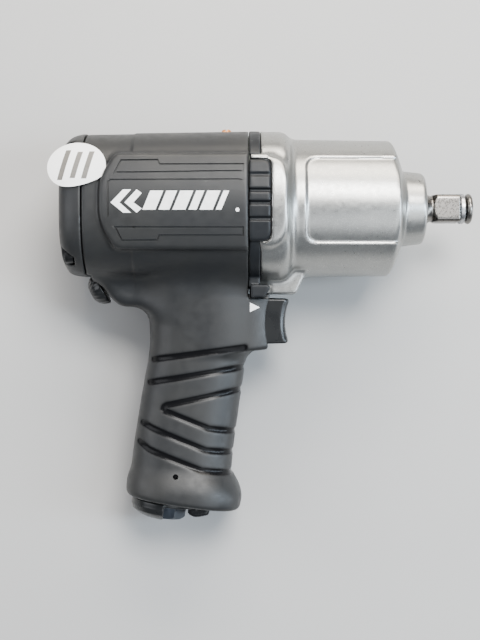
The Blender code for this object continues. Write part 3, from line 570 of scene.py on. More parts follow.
def housing_field(x, y, z):
    across = np.abs(z)
    body = join(barrel_field(x, y, z), web_field(x, y, across), 7.0)
    grip = join(grip_field(x, y, across), shroud_field(x, y, across), 5.0)
    foot = (x - INLET_FOOT[0]) * INLET_DOWN[0] + (y - INLET_FOOT[1]) * INLET_DOWN[1]
    grip = both(grip, foot, 2.6)
    body = join(body, grip, 9.0)
    body = join(body, panel_field(x, y, across), 2.0)
    body = body + groove_depth(x, y)
    case_room = block(x, y, z, ((HOUSING_FRONT, 40), (SHROUD_TOP, 60), (-60, 60)), 0.4)
    body = carve(body, case_room, 0.7)
    tab_room = block(x, y, across, ((HOUSING_FRONT, 40), (-41.9, 0), (12.2, 60)), 0.4)
    body = carve(body, tab_room, 0.5)
    reach = TRIGGER_HALF_HEIGHT + TRIGGER_ROOM
    half_width = TRIGGER_HALF_WIDTH + TRIGGER_ROOM
    sides = ((TRIGGER_MIDDLE - reach, TRIGGER_MIDDLE + reach), (-half_width, half_width))
    body = carve(body, block(x, y, z, ((-8.0, 40), *sides), 0.6), 1.0)
    s, r, t = into(DIAL_FRAME, x, y, z)
    room = both(np.hypot(r, t) - DIAL_ROOM_R, -s, 0.5)
    body = carve(body, room, 0.8)
    belly = both(y - REAR_BELLY, x + 71.5, 0.4)
    return carve(body, belly, 0.6)


def mark_grooves(made):
    """Stores how deep in a grip groove each point lies, for the finish, which paints shade into the grooves."""
    mesh = made.data
    places = np.empty(3 * len(mesh.vertices))
    mesh.vertices.foreach_get("co", places)
    places = moved_by(TO_WORLD.inverted(), places.reshape(-1, 3))
    depth = groove_depth(places[:, 0], places[:, 1])
    layer = mesh.attributes.new("groove", "FLOAT", "POINT")
    layer.data.foreach_set("value", depth.astype(np.float32))


def crown_height(y):
    return SIDE_REACH - CROWN_R + math.sqrt(CROWN_R**2 - y * y)


def offset_line(points, half_width):
    """Left and right sides of a polyline, mitred."""
    sides = []
    for i, (x, y) in enumerate(points):
        here = Vector((x, y))
        ahead = (Vector(points[min(i + 1, len(points) - 1)]) - here).normalized()
        behind = (here - Vector(points[max(i - 1, 0)])).normalized()
        if i == 0:
            behind = ahead
        if i == len(points) - 1:
            ahead = behind
        normal = (ahead + behind).normalized()
        normal = Vector((-normal.y, normal.x))
        reach = half_width / max(0.35, normal.dot(Vector((-ahead.y, ahead.x))))
        sides.append((here + normal * reach, here - normal * reach))
    return sides


def finer(points, longest=3.0):
    """The same polyline with points no further apart than that."""
    fine = [points[0]]
    for a, b in zip(points, points[1:], strict=False):
        parts = math.ceil(math.dist(a, b) / longest)
        for i in range(1, parts + 1):
            fine.append((a[0] + (b[0] - a[0]) * i / parts, a[1] + (b[1] - a[1]) * i / parts))
    return fine


def ribbon(points, half_width, depth, height, side=1):
    """Strip along a polyline, between two heights over the side panels' crown."""
    rings = []
    for left, right in offset_line(finer(points), half_width):
        ring = []
        for place, level in ((left, -depth), (right, -depth), (right, height), (left, height)):
            ring.append((place.x, place.y, side * (crown_height(place.y) + level)))
        rings.append(ring)
    return loft(rings)


def motor_housing():
    spans = ((-77, 12), (-141, 37), (-39, 39))
    made = moulded("motor_housing_shell", housing_field, spans, 0.62)
    for side in (1, -1):
        for line in PANEL_LINES:
            cut(made, ribbon(line, 0.42, 0.7, 2.0, side))
    cut(made, rod(-80, 5, MOTOR_BORE_R, 96), *bolt_holes(-80, 5))
    cut(made, placed(rod(-60, 10, 6.5), INLET_FRAME), placed(rod(-20.3, 10, 8.6, 48), INLET_FRAME))
    cut(made, placed(rod(-8.9, 10, 4.0), DIAL_FRAME))
    cut(made, placed(rod(-38.0, -7, 6.9), THROTTLE_FRAME))
    cut(made, placed(rod(-40, 40, 1.2, 24), INLET_PIN_FRAME))
    cut(made, placed(rod(20, 50, 2.5, 32), OIL_PLUG_FRAME))
    sharpen(made, 40)
    mark_grooves(made)
    return made


# ---- the other castings


def cap_field(x, y, z):
    body = both(barrel_skin(y, z, 33.6), slab(x, -84.5, 0.0), 11.5)
    body = both(body, x - CAP_FRONT, 0.5)
    for up, across in CORNERS:
        head = np.hypot(y - up, z - across) - 4.1
        body = carve(body, both(head, x + 77.6, 0.4), 1.2)
    dish = both(np.hypot(y, z) - 17.5, x + 83.7, 1.2)
    body = carve(body, dish, 0.8)
    return carve(body, y - REAR_BELLY, 1.4)


def rear_cap():
    made = moulded("rear_cap_shell", cap_field, ((-86, -72), (-36, 36), (-37, 37)), 0.55)
    hollow = (rod(-79.6, -70, 23.5, 64), rod(-75.5, -70, 28.2, 96))
    cut(made, *hollow, *bolt_holes(-90, -70))
    return sharpen(made, 40)


def case_field(x, y, z):
    across = np.abs(z)
    radius = np.hypot(y, z)
    slope = (CASE_R_FRONT - CASE_R_REAR) / 44.0
    tube = radius - (CASE_R_REAR + slope * (x - 20.0))
    dome = np.hypot(x - DOME_CENTRE - DOME_BULGE * (z / CASE_R_FRONT) ** 2, radius) - DOME_R
    tube = both(both(tube, dome, 1.3), 0.3 - x, 0.5)
    rear = both(barrel_skin(y, z, 34.6), x - 18.6, 6.5)
    rear = both(rear, BAND_FRONT + 0.2 - x, 0.7)
    body = join(tube, rear, 3.0)
    under_band = both(barrel_skin(y, z, 32.8), slab(x, 0.3, 8.0), 0.4)
    body = np.minimum(body, under_band)
    corners = [(0.0, -20.6), (16.4, -20.6), (16.4, 20.6), (0.0, 20.6)]
    boss = both(convex(x, y, corners, 13.0), crown_field(y, across) - 0.1, 1.8)
    boss = both(boss, 24.0 - across, 1.0)
    body = join(body, both(boss, BAND_FRONT + 0.2 - x, 0.7), 2.4)
    recess = [(24.9, -17.4), (90.0, -17.4), (90.0, 20.4), (24.9, 20.4)]
    inside = convex(x, y, recess, 5.5)
    depth = 1.0 / (1 + np.exp(inside / 0.24))
    body = body + depth * (across > 10) / (1 + np.exp((x - 65.8) / 0.5))
    lug = [(-2.0, -28.0), (-2.0, -39.6), (21.2, -39.6), (25.2, -31.0), (25.2, -28.0)]
    underside = both(convex(x, y, lug, 0.8), across - 12.5, 1.2)
    body = join(body, both(underside, 0.3 - x, 0.4), 2.5)
    tab_room = block(x, y, across, ((-2, 9.8), (-50, -35.4), (12.2, 60)), 0.4)
    body = carve(body, tab_room, 0.5)
    pad_outline = convex(x, y, [(-2.0, -18.0), (9.5, -18.0), (9.5, 18.7), (-2.0, 18.7)], 3.6)
    body = carve(body, both(pad_outline, 33.6 - across, 0.5), 0.6)
    bar = block(x, y, across, ((0.3, 8.0), SILVER_BAR, (28.0, 60.0)), 0.5)
    body = join(body, both(bar, crown_field(y, across) - 0.1, 0.9), 0.6)
    nose = both(radius - 17.4 + (x - 71) * 0.12, x - NOSE_FRONT, 2.0)
    body = join(body, both(nose, 60.0 - x, 1.0), 1.0)
    return body


def hammer_case():
    spans = ((-1.5, 82), (-43, 36.5), (-39.5, 39.5))
    made = moulded("hammer_case_shell", case_field, spans, 0.58)
    cut(made, rod(-30, CAVITY_FRONT, CAVITY_R, 96), rod(-30, 90, NOSE_BORE_R, 64))
    return sharpen(made, 40)


def band_field(x, y, z):
    across = np.abs(z)
    band = both(barrel_skin(y, z, BARREL_FRONT_HALF + 0.1), slab(x, BAND_REAR, BAND_FRONT), 0.8)
    corners = [(-3.0, -17.6), (9.2, -17.6), (9.2, 18.3), (-3.0, 18.3)]
    pad = both(convex(x, y, corners, 4.0), crown_field(y, across) - 0.25, 1.6)
    pad = both(both(pad, 33.9 - across, 0.4), BAND_REAR - x, 0.8)
    heights = (SILVER_BAR[0] - 0.3, SILVER_BAR[1] + 0.3)
    bar = block(x, y, across, ((-5, 12), heights, (27.6, 60)), 0.3)
    band = carve(band, bar, 0.4)
    band = carve(band, barrel_skin(y, z, 33.1), 0.3)
    body = join(band, pad, 0.6)
    for centre in (11.3, 4.4, -1.0, -7.9):
        groove = both(slab(y, centre - 0.75, centre + 0.75), 36.1 - across, 0.7)
        body = carve(body, groove, 0.7)
    opening = block(x, y, z, ((-5, 12), (-60, 0), (-12.4, 12.4)), 0.4)
    body = carve(body, opening, 0.4)
    tab = both(convex(x, y, TAB, 0.5), slab(across, 12.5, 20.0), 0.9)
    strap = block(x, y, across, ((BAND_REAR, BAND_FRONT), (-37.0, -26.0), (12.5, 18.6)), 0.8)
    return join(join(body, strap, 0.8), tab, 0.4)


def front_bumper():
    made = moulded("front_bumper_shell", band_field, ((-0.6, 10.4), (-45, 36), (-39, 39)), 0.42)
    return sharpen(made, 45)


# ---- drive end


def anvil_field(x, y, z):
    radius = np.hypot(y, z)
    neck = 5.9 + 2.3 * np.clip((84.6 - x) / 4.0, 0, 1) ** 1.6
    shoulder = 5.9 + 3.4 * np.clip((x - 84.6) / 3.4, 0, 1) ** 0.75
    shaft = both(radius - neck, x - 85.5, 0.3)
    square = both(np.abs(y) - SQUARE / 2, np.abs(z) - SQUARE / 2, 1.2)
    square = both(square, radius - np.minimum(shoulder, 8.15), 0.5)
    square = both(square, slab(x, 84.0, 97.1), 0.6)
    core = both(radius - 4.4, slab(x, 90.0, 101.0), 0.3)
    collar = both(radius - 7.1, slab(x, 100.1, ANVIL_END), 1.9)
    body = join(join(shaft, square, 0.3), core, 0.3)
    body = join(body, collar, 0.3)
    return both(body, 79.0 - x, 0.3)


def anvil_lug(span, side):
    """One of the two lugs that the hammers strike."""
    root = [(ANVIL_LUG_ROOT_R, turn) for turn in (-40, 0, 40)]
    face = [(ANVIL_LUG_R, turn) for turn in (30, 18, 6, -6, -18, -30)]
    outline = [
        (side * r * math.cos(math.radians(turn)), side * r * math.sin(math.radians(turn)))
        for r, turn in root + face
    ]
    return extruded(outline, *span)


def anvil():
    spans = ((78.5, 104), (-10.4, 10.4), (-10.4, 10.4))
    made = moulded("anvil_drive", anvil_field, spans, 0.26)
    shaft = [
        (-5.6, 0),
        (-5.6, ANVIL_CORE_R),
        (44.0, ANVIL_CORE_R),
        (44.0, ANVIL_SHAFT_R),
        (50.4, ANVIL_SHAFT_R),
        (50.4, ANVIL_SHOULDER_R),
        (52.4, ANVIL_SHOULDER_R),
        (52.4, ANVIL_SHAFT_R),
        (79.7, ANVIL_SHAFT_R),
        (80.3, 9.0),
        (80.3, 0),
    ]
    lugs = [anvil_lug(*lug) for lug in ANVIL_LUGS]
    cut(made, turned(shaft, 64), *lugs, operation="UNION")
    return sharpen(made, 40)


def friction_ring():
    profile = [(97.2, 5.6), (97.2, 6.6), (97.7, 7.05), (99.0, 7.05), (99.5, 6.6), (99.5, 5.6)]
    return solid_of("friction_ring_split", turned(profile, 96, True))


def anvil_o_ring():
    profile = []
    for i in range(12):
        turn = math.tau * i / 12
        profile.append((98.35 + 1.1 * math.cos(turn), 5.0 + 0.5 * math.sin(turn)))
    return solid_of("o_ring_round", turned(profile, 64, True), sharp_deg=80)


def nose_seal():
    profile = [(76.9, 9.9), (76.9, 12.8), (79.6, 12.8), (79.9, 12.4), (79.4, 10.6), (79.9, 9.9)]
    return solid_of("nose_seal_lip", turned(profile, 96, True))


# ---- controls


def trigger_field(x, y, z):
    share = (y - TRIGGER_MIDDLE) / TRIGGER_HALF_HEIGHT
    front = 16.7 + 2.3 * share * share + 0.2 * share - 0.9 * (z / TRIGGER_HALF_WIDTH) ** 2
    height = TRIGGER_HALF_HEIGHT - 0.02 * np.maximum(x, 0)
    body = both(np.abs(y - TRIGGER_MIDDLE) - height, np.abs(z) - TRIGGER_HALF_WIDTH, 1.4)
    body = both(body, x - front, 2.3)
    return both(body, -x, 0.6)


def trigger():
    spans = ((-0.8, 21), (-63.5, -41), (-9, 9))
    made = moulded("trigger_shell", trigger_field, spans, 0.36)
    cut(made, placed(rod(-5, 6.3, 2.5), THROTTLE_FRAME))
    return sharpen(made, 40)


def dial_field(s, r, t):
    radius = np.hypot(r, t)
    turn = np.arctan2(t, r)
    ribs = 0.14 * (0.5 + 0.5 * np.cos(18 * turn))
    fade = np.clip((radius - 3.6) / 1.6, 0, 1)
    dome = np.hypot((s - 1.0) / 6.9, radius / 7.75) - 1
    dome = dome * 6.2 + ribs * fade
    body = both(dome, 1.0 - s, 0.7)
    socket = both(radius - 2.9, 5.2 - s, 0.3)
    body = carve(body, socket, 0.7)
    return both(body, s - 7.8, 0.8)


def selector_dial():
    spans = ((0.2, 9), (-9, 9), (-9, 9))
    made = moulded("selector_knob", dial_field, spans, 0.3, DIAL_FRAME)
    cut(made, placed(rod(-2, 9, 1.6), DIAL_FRAME))
    return sharpen(made, 45)


def dial_screw():
    profile = [(-4.0, 0), (-4.0, 1.3), (5.5, 1.3), (5.5, 2.4), (7.0, 2.4), (7.2, 0)]
    made = solid_of("dial_screw_head", turned(rounded(profile, 0.35), 48), DIAL_FRAME)
    return cut(made, placed(driver_slot(0.4, 5, 6.2, 12), DIAL_FRAME))


def deflector_field(s, r, t):
    radius = np.hypot(r, t)
    disc = both(slab(s, 0.35, 2.3), radius - 15.6, 0.6)
    slope, shoulder = np.clip((s - 3.9) / 2.4, 0, 1), np.clip((s - 6.0) / 2.8, 0, 1)
    hood_out = 16.0 - 0.9 * slope - 4.6 * shoulder**1.3
    hood = both(radius - hood_out, s - 8.8, 0.8)
    hood = both(hood, 1.2 - s, 0.4)
    hollow = both(radius - (hood_out - 1.6), s - 8.9, 0.2)
    hood = carve(hood, hollow, 0.4)
    hood = both(hood, r, 0.8)
    spout = [(0.5, 10.5), (5.0, 10.5), (6.5, 13.4), (6.1, 16.5), (4.2, 20.6), (0.5, 20.6)]
    nozzle = both(convex(s, r, spout, 1.2), np.abs(t) - 7.0, 1.6)
    outlet = convex(s, r, [(1.9, 9.0), (4.5, 9.0), (3.3, 25.0), (1.9, 25.0)], 0.4)
    outlet = both(outlet, np.abs(t) - 5.6, 0.6)
    body = join(join(disc, hood, 0.8), nozzle, 1.0)
    body = carve(body, outlet, 0.5)
    body = carve(body, both(radius - 8.85, s - 6.0, 0.3), 0.6)
    for side in (1, -1):
        hole = both(np.hypot(r, t - side * 11.5) - 2.0, s - 3.0, 0.2)
        body = carve(body, hole, 0.4)
    return body


def exhaust_deflector():
    spans = ((-0.6, 10), (-17.5, 22), (-17.5, 17.5))
    made = moulded("exhaust_hood", deflector_field, spans, 0.36, INLET_FRAME)
    return sharpen(made, 45)


def air_inlet():
    made = solid_of("air_inlet_hex", extruded(hexagon(16.3), 2.7, 8.6), INLET_FRAME)
    chamfer = turned([(2.0, 0), (2.0, 8.5), (3.2, 9.7), (7.4, 9.7), (8.7, 8.0), (8.7, 0)], 96)
    cut(made, placed(chamfer, INLET_FRAME), operation="INTERSECT")
    cut(made, placed(rod(-20.0, 3.4, 8.3, 64), INLET_FRAME), operation="UNION")
    bore = [(-30, 0), (-30, 5.2)]
    s = -14.0
    while s < 6.8:
        bore += [(s, 5.3), (s + 0.7, 5.9)]
        s += 1.4
    bore += [(7.2, 5.6), (9.0, 7.2), (20, 7.2), (20, 0)]
    cut(made, placed(turned(bore, 64), INLET_FRAME))
    return sharpen(made, 30)


# ---- small parts


def cap_screws():
    head = [(-81.6, 0), (-81.6, 3.6), (-77.9, 3.6)]
    shank = [(-77.9, 2.0), (11.0, 2.0), (12, 1.2), (12, 0)]
    made = []
    for number, (y, z) in enumerate(CORNERS, 1):
        body = turned(rounded(head + shank, 0.4), 64)
        screw = solid_of(f"socket_screw_{number}", body, at_side(y, z))
        socket = extruded([(y + u, z + v) for u, v in hexagon(3.3, 15)], -84, -79.4)
        made.append(cut(screw, socket))
    return made


def oil_plug():
    profile = [(30.2, 0), (30.2, 2.2), (36.2, 2.2), (36.7, 1.8), (36.7, 0)]
    made = solid_of("oil_plug_screw", turned(rounded(profile, 0.3), 48), OIL_PLUG_FRAME)
    return cut(made, placed(driver_slot(0.35, 4, 35.9, 40), OIL_PLUG_FRAME))


def inlet_pin():
    profile = [(-17.6, 0), (-17.6, 0.9), (17.6, 0.9), (17.6, 0)]
    return solid_of("roll_pin", turned(rounded(profile, 0.3), 32), INLET_PIN_FRAME)


def sticker_height(x, y):
    """Height of the surface that the sticker lies on, bridging from the barrel over the cap."""
    share = min(0.97, abs(y) / 34.2)
    side = 35.3 * (1 - share**BARREL_POWER) ** (1 / BARREL_POWER)
    rear = max(0.0, -76.5 - x)
    return side + 0.28 - 0.045 * rear**1.6


def sticker_sheet(name, outline_of, rings, lift, thickness):
    """Thin sheet over a star-shaped outline, given as a function of turn and share."""
    bm = bmesh.new()
    steps = 72
    layers = []
    for level in (lift + thickness, lift):
        grid = []
        for ring in range(1, rings + 1):
            row = []
            for i in range(steps):
                x, y = outline_of(math.tau * i / steps, ring / rings)
                row.append(bm.verts.new((x, y, sticker_height(x, y) + level)))
            grid.append(row)
        x, y = outline_of(0.0, 0.0)
        middle = bm.verts.new((x, y, sticker_height(x, y) + level))
        for i in range(steps):
            j = (i + 1) % steps
            bm.faces.new((middle, grid[0][i], grid[0][j]))
            for inner, outer in zip(grid, grid[1:], strict=False):
                bm.faces.new((inner[i], outer[i], outer[j], inner[j]))
        layers.append(grid[-1])
    for i in range(steps):
        j = (i + 1) % steps
        bm.faces.new((layers[0][i], layers[0][j], layers[1][j], layers[1][i]))
    return solid_of(name, bm)


def round_sticker():
    def disc(turn, share):
        x = STICKER_CENTRE[0] + share * STICKER_R * math.cos(turn)
        curl = 1 - 0.2 * max(0.0, -math.sin(turn)) * (1 + math.cos(turn))
        y = STICKER_CENTRE[1] + share * curl * (STICKER_R - 1.8) * math.sin(turn)
        return x, y

    return sticker_sheet("round_label", disc, 14, 0.0, 0.12)


def label_bars():
    """Three plain grey bars in place of the label's print."""
    made = []
    for number, (x, half) in enumerate(LABEL_BARS, 1):

        def bar(turn, share, x=x, half=half):
            reach = 1.0 / max(abs(math.cos(turn)), abs(math.sin(turn)))
            u, v = share * reach * math.cos(turn) * 1.15, share * reach * math.sin(turn) * half
            return x + u + 0.25 * v, STICKER_CENTRE[1] + 0.6 + v

        made.append(sticker_sheet(f"label_bar_{number}", bar, 6, 0.14, 0.03))
    return made


def skin_height(x, y):
    """Height over the middle plane of the housing's side at (x, y)."""
    low, high = np.array([12.0]), np.array([40.0])
    for _ in range(24):
        middle = (low + high) / 2
        inside = housing_field(np.array([x]), np.array([y]), middle) < 0
        low = np.where(inside, middle, low)
        high = np.where(inside, high, middle)
    return float(low[0])


def print_marks():
    """Chevrons, stripes and a dot on both side panels, and a triangle beside the trigger."""
    made = []
    shapes = list(CHEVRONS)
    left = STRIPES_START
    for width in STRIPE_WIDTHS:
        right = left + width
        low = [(x - STRIPE_SLANT, -STRIPE_HALF_HEIGHT) for x in (left, right)]
        high = [(x + STRIPE_SLANT, STRIPE_HALF_HEIGHT) for x in (right, left)]
        shapes.append(low + high)
        left += width + STRIPE_GAP
    dot_x, dot_y = DOT_CENTRE
    dot = hexagon(2.0 * math.sqrt(0.75))
    shapes.append([(dot_x + DOT_SCALE * u, dot_y + DOT_SCALE * v) for u, v in dot])
    shapes.append(TRIGGER_MARK)
    for side, name in ((1, "right"), (-1, "left")):
        for number, shape in enumerate(shapes, 1):
            rings = []
            fine = finer([*shape, shape[0]], 1.2)[:-1]
            heights = [skin_height(u, v) if v < -30 else crown_height(v) for u, v in fine]
            for level in (PRINT_SUNK, PRINT_PROUD):
                places = zip(fine, heights, strict=True)
                rings.append([(*place, side * (height + level)) for place, height in places])
            bm = loft(rings)
            bmesh.ops.triangulate(bm, faces=[face for face in bm.faces if len(face.verts) > 4])
            made.append(solid_of(f"print_{name}_{number}", bm))
    return made


# ---- materials


class Finish:
    """Procedural material: colour variation, grain and edge wear over a Principled shader."""

    def __init__(self, name, colour, roughness, metallic=0.0, **settings):
        self.material = bpy.data.materials.new(name)
        self.material.use_nodes = True
        self.tree = self.material.node_tree
        self.shader = self.tree.nodes["Principled BSDF"]
        self.shader.inputs["Base Color"].default_value = (*colour, 1.0)
        self.shader.inputs["Roughness"].default_value = roughness
        self.shader.inputs["Metallic"].default_value = metallic
        for key, value in settings.items():
            self.shader.inputs[key.replace("_", " ")].default_value = value
        self.colour = colour
        self.place = self.tree.nodes.new("ShaderNodeTexCoord").outputs["Object"]
        self.normal = None

    def link(self, source, socket):
        self.tree.links.new(source, socket)

    def add(self, kind, inputs=None, **values):
        """Node with those properties and input values."""
        node = self.tree.nodes.new(kind)
        for key, value in values.items():
            setattr(node, key, value)
        for key, value in (inputs or {}).items():
            node.inputs[key].default_value = value
        return node

    def noise(self, per_metre, detail=2.0, roughness=0.5):
        inputs = {"Scale": per_metre, "Detail": detail, "Roughness": roughness}
        node = self.add("ShaderNodeTexNoise", inputs)
        self.link(self.place, node.inputs["Vector"])
        return node.outputs["Fac"]

    def ramp(self, source, low, high, at=(0.35, 0.65)):
        """Maps a value onto a range, between two thresholds."""
        inputs = {"From Min": at[0], "From Max": at[1], "To Min": low, "To Max": high}
        node = self.add("ShaderNodeMapRange", inputs)
        self.link(source, node.inputs["Value"])
        return node.outputs["Result"]

    def mottle(self, other, per_metre, at=(0.4, 0.7), detail=4.0):
        """Drifts the colour towards another by large soft noise."""
        return self.tint(self.ramp(self.noise(per_metre, detail), 0.0, 1.0, at), other)

    def tint(self, share, other):
        mix = self.add("ShaderNodeMix", data_type="RGBA")
        socket = self.shader.inputs["Base Color"]
        if socket.is_linked:
            self.link(socket.links[0].from_socket, mix.inputs[6])
        else:
            mix.inputs[6].default_value = (*self.colour, 1.0)
        mix.inputs[7].default_value = (*other, 1.0)
        self.link(share, mix.inputs[0])
        self.link(mix.outputs[2], socket)
        return self

    def wear(self, other, low=0.52, high=0.60, strength=0.6):
        """Lightens convex edges, broken up by noise."""
        edge = self.add("ShaderNodeNewGeometry").outputs["Pointiness"]
        share = self.ramp(edge, 0.0, strength, (low, high))
        broken = self.ramp(self.noise(900, 3.0), 0.3, 1.0)
        product = self.add("ShaderNodeMath", operation="MULTIPLY")
        self.link(share, product.inputs[0])
        self.link(broken, product.inputs[1])
        return self.tint(product.outputs[0], other)

    def vary_roughness(self, per_metre, low, high, detail=3.0):
        source = self.ramp(self.noise(per_metre, detail), low, high, (0.3, 0.7))
        self.link(source, self.shader.inputs["Roughness"])
        return self

    def blend(self, share, source, value):
        """Mixes a number towards a constant."""
        mix = self.add("ShaderNodeMix", data_type="FLOAT")
        self.link(share, mix.inputs[0])
        self.link(source, mix.inputs[2])
        mix.inputs[3].default_value = value
        return mix.outputs[0]

    def bump(self, height, strength, distance_mm):
        """Bump, over any bump already there."""
        bump = self.add("ShaderNodeBump", {"Strength": strength, "Distance": distance_mm * MM})
        self.link(height, bump.inputs["Height"])
        if self.normal:
            self.link(self.normal, bump.inputs["Normal"])
        self.normal = bump.outputs["Normal"]
        self.link(self.normal, self.shader.inputs["Normal"])
        return self

    def grain(self, per_metre, strength, distance_mm=0.05, detail=2.0):
        """Fine even bump."""
        return self.bump(self.noise(per_metre, detail), strength, distance_mm)

    def scratches(self, stretch, per_metre, strength, distance_mm=0.03):
        """Fine lines drawn out along one axis."""
        mapping = self.add("ShaderNodeMapping", {"Scale": stretch})
        self.link(self.place, mapping.inputs["Vector"])
        node = self.add("ShaderNodeTexNoise", {"Scale": per_metre, "Detail": 3.0})
        self.link(mapping.outputs["Vector"], node.inputs["Vector"])
        return self.bump(node.outputs["Fac"], strength, distance_mm)


def composite():
    made = Finish("composite", (0.0128, 0.0133, 0.0140), 0.42, Specular_IOR_Level=0.34)
    made.mottle((0.0175, 0.0175, 0.017), 45)
    made.wear((0.055, 0.055, 0.053))
    made.grain(2600, 0.35, 0.05)
    rough = made.ramp(made.noise(260, 3.0), 0.38, 0.50, (0.3, 0.7))
    # In the grip grooves the colour darkens: painted shade. The lower roughness there is the grooves' own gloss,
    # and the specular level is lowered there too.
    groove = made.add("ShaderNodeAttribute", attribute_name="groove").outputs["Fac"]
    edge_and_floor = (0.03, 0.24)
    share = made.ramp(groove, 0.0, 1.0, edge_and_floor)
    made.tint(share, (0.0035, 0.0035, 0.004))
    smoother = made.blend(share, rough, 0.25)
    made.link(smoother, made.shader.inputs["Roughness"])
    sheen = made.ramp(groove, 0.34, 0.12, edge_and_floor)
    made.link(sheen, made.shader.inputs["Specular IOR Level"])
    return made


def rubber():
    made = Finish("bumper_rubber", (0.0065, 0.0075, 0.009), 0.42, Specular_IOR_Level=0.24)
    made.mottle((0.0095, 0.0105, 0.012), 90)
    made.wear((0.06, 0.06, 0.06))
    made.vary_roughness(300, 0.36, 0.48)
    return made.grain(3200, 0.3, 0.05)


def silver():
    made = Finish("cast_silver", (0.335, 0.333, 0.319), 0.32, 0.92)
    made.mottle((0.30, 0.30, 0.288), 60)
    made.tint(made.ramp(made.noise(2600, 1.0), 0.0, 0.45, (0.54, 0.68)), (0.55, 0.55, 0.53))
    made.vary_roughness(500, 0.27, 0.36)
    return made.grain(1900, 0.18, 0.04)


def steel(name, colour, roughness, coat=0.0):
    made = Finish(name, colour, roughness, 1.0, Coat_Weight=coat)
    made.mottle(tuple(c * 0.8 for c in colour), 120)
    made.vary_roughness(800, roughness * 0.8, roughness * 1.35)
    made.scratches((0.15, 1.0, 1.0), 500, 0.03)
    return made


def glossy_black():
    made = Finish("moulded_black", (0.008, 0.0085, 0.009), 0.28, Specular_IOR_Level=0.34)
    made.mottle((0.011, 0.0115, 0.012), 60)
    made.vary_roughness(120, 0.25, 0.31)
    return made.grain(1500, 0.06, 0.03)


def paper_white():
    made = Finish("label_paper", (0.95, 0.945, 0.925), 0.5)
    made.mottle((0.91, 0.90, 0.88), 150)
    return made.grain(3000, 0.1, 0.03)


def ink(name, colour):
    made = Finish(name, colour, 0.45)
    made.mottle(tuple(c * 0.88 for c in colour), 400)
    return made.grain(3000, 0.1, 0.02)


def plain(name, colour, roughness, metallic=0.0):
    """Finish of the parts inside."""
    made = Finish(name, colour, roughness, metallic)
    made.mottle(tuple(c * 0.75 for c in colour), 300)
    made.vary_roughness(700, roughness * 0.85, min(1.0, roughness * 1.25))
    return made.grain(2500, 0.15, 0.03)


def finishes():
    """One material for each material slot of the record."""
    made = {
        "housing_composite": composite(),
        "bumper_rubber": rubber(),
        "case_silver": silver(),
        "anvil_steel": steel("anvil_steel_polished", (0.19, 0.178, 0.165), 0.27),
        "tool_steel": steel("tool_steel_ground", (0.45, 0.45, 0.46), 0.28),
        "cylinder_iron": plain("cylinder_iron_turned", (0.30, 0.30, 0.31), 0.45, 0.8),
        "bronze": plain("bronze_sintered", (0.60, 0.42, 0.20), 0.38, 1.0),
        "brass": plain("brass_turned", (0.90, 0.36, 0.12), 0.34, 0.8),
        "vane_resin": plain("vane_resin_cloth", (0.22, 0.13, 0.07), 0.60),
        "seal_rubber": plain("seal_rubber_black", (0.02, 0.02, 0.02), 0.65),
        "gasket_paper": plain("gasket_fibre", (0.10, 0.11, 0.10), 0.80),
        "black_oxide": plain("black_oxide_steel", (0.025, 0.025, 0.026), 0.30, 0.8),
        "zinc_steel": steel("zinc_plate", (0.06, 0.07, 0.085), 0.34),
        "trigger_plastic": glossy_black(),
        "sticker_white": paper_white(),
    }
    return {slot: finish.material for slot, finish in made.items()}


FINISH = finishes()
BAR_INK = ink("label_ink", (0.13, 0.12, 0.105)).material
MARK_INK = ink("mark_white", (0.96, 0.96, 0.95)).material


def finish_cad_nodes():
    """Gives every carried-over node its slot's procedural material."""
    for part in frame["record"]["subparts"]:
        mesh = frame["nodes"][part["node"]].data
        mesh.materials.clear()
        mesh.materials.append(FINISH[part["material_slot"]])


def dress(made, slot, body, *replaced, material=None):
    """Gives one piece its finish, which the slot picks unless a material is given, puts it on its body and hides
    the nodes it replaces.
    """
    made.data.materials.clear()
    made.data.materials.append(material or FINISH[slot])
    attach(made, body)
    if replaced:
        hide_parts(*replaced)


# ---- scene


def floor():
    size = FLOOR_HALF_SIZE
    mesh = bpy.data.meshes.new("floor")
    corners = [(-size, -size, 0), (size, -size, 0), (size, size, 0), (-size, size, 0)]
    mesh.from_pydata(corners, [], [(0, 1, 2, 3)])
    made = in_scene("floor", mesh)
    finish = Finish("floor_pale", (0.40, 0.395, 0.385), 0.8)
    finish.mottle((0.375, 0.37, 0.365), 6)
    mesh.materials.append(finish.material)


def light(name, place, size, watts, colour):
    data = bpy.data.lights.new(name, "AREA")
    data.shape = "RECTANGLE"
    data.size, data.size_y = size
    data.energy = watts
    data.color = colour
    made = in_scene(name, data)
    made.location = place
    made.rotation_euler = (Vector(LIT_PLACE) - Vector(place)).to_track_quat("-Z", "Y").to_euler()


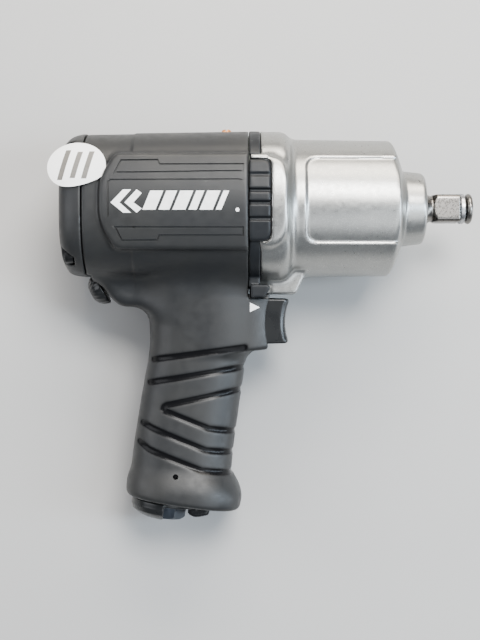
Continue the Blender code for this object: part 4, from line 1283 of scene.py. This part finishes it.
def lights():
    world = bpy.data.worlds.new("studio")
    world.use_nodes = True
    background = world.node_tree.nodes["Background"]
    background.inputs["Color"].default_value = (0.80, 0.86, 0.95, 1.0)
    background.inputs["Strength"].default_value = 0.32
    bpy.context.scene.world = world
    light("key", (0.08, 0.62, 0.42), (0.66, 0.33), 9.2, (1.0, 0.93, 0.83))
    light("top", (0.22, 0.42, 1.05), (0.5, 0.4), 22.0, (1.0, 0.99, 0.97))
    light("back", (0.45, -0.45, 0.95), (0.9, 0.6), 5.0, (0.92, 0.96, 1.0))
    light("fill", (-0.8, 0.1, 0.6), (0.7, 0.7), 5.5, (0.94, 0.96, 1.0))
    light("strip", (0.75, -0.05, 0.7), (0.16, 0.8), 11.0, (0.70, 0.85, 1.0))
    light("low", (1.0, -0.2, 0.12), (0.2, 0.5), 4.0, (0.80, 0.90, 1.0))


def camera():
    data = bpy.data.cameras.new("camera")
    data.lens, data.sensor_width = CAMERA_LENS, CAMERA_SENSOR
    data.clip_start, data.clip_end = 0.01, 20.0
    made = in_scene("camera", data)
    place = TO_WORLD @ Vector(CAMERA_PLACE)
    turn = TO_WORLD.to_3x3().normalized().to_4x4()
    made.matrix_world = Matrix.Translation(place) @ turn
    bpy.context.scene.camera = made


# ---- assembly

finish_cad_nodes()
dress(motor_housing(), "housing_composite", "housing", "motor_housing")
dress(rear_cap(), "housing_composite", "housing", "rear_cap")
dress(hammer_case(), "case_silver", "housing", "hammer_case")
dress(front_bumper(), "bumper_rubber", "housing", "front_bumper")
dress(friction_ring(), "tool_steel", "anvil", "friction_ring")
dress(anvil_o_ring(), "seal_rubber", "anvil", "anvil_o_ring")
dress(nose_seal(), "seal_rubber", "housing", "nose_seal")
dress(anvil(), "anvil_steel", "anvil", "anvil")
dress(trigger(), "trigger_plastic", "trigger", "trigger")
dress(selector_dial(), "trigger_plastic", "selector", "selector_dial")
dress(dial_screw(), "black_oxide", "selector", "dial_screw")
dress(exhaust_deflector(), "trigger_plastic", "deflector", "exhaust_deflector")
dress(air_inlet(), "zinc_steel", "housing", "air_inlet")
dress(oil_plug(), "brass", "housing", "oil_plug")
dress(inlet_pin(), "black_oxide", "housing", "inlet_pin")
for index, screw in enumerate(cap_screws(), 1):
    dress(screw, "black_oxide", "housing", f"cap_screw_{index}")
dress(round_sticker(), "sticker_white", "housing", "round_sticker")
for bar_piece in label_bars():
    dress(bar_piece, "sticker_white", "housing", material=BAR_INK)
for mark in print_marks():
    dress(mark, "sticker_white", "housing", material=MARK_INK)

floor()
lights()
camera()
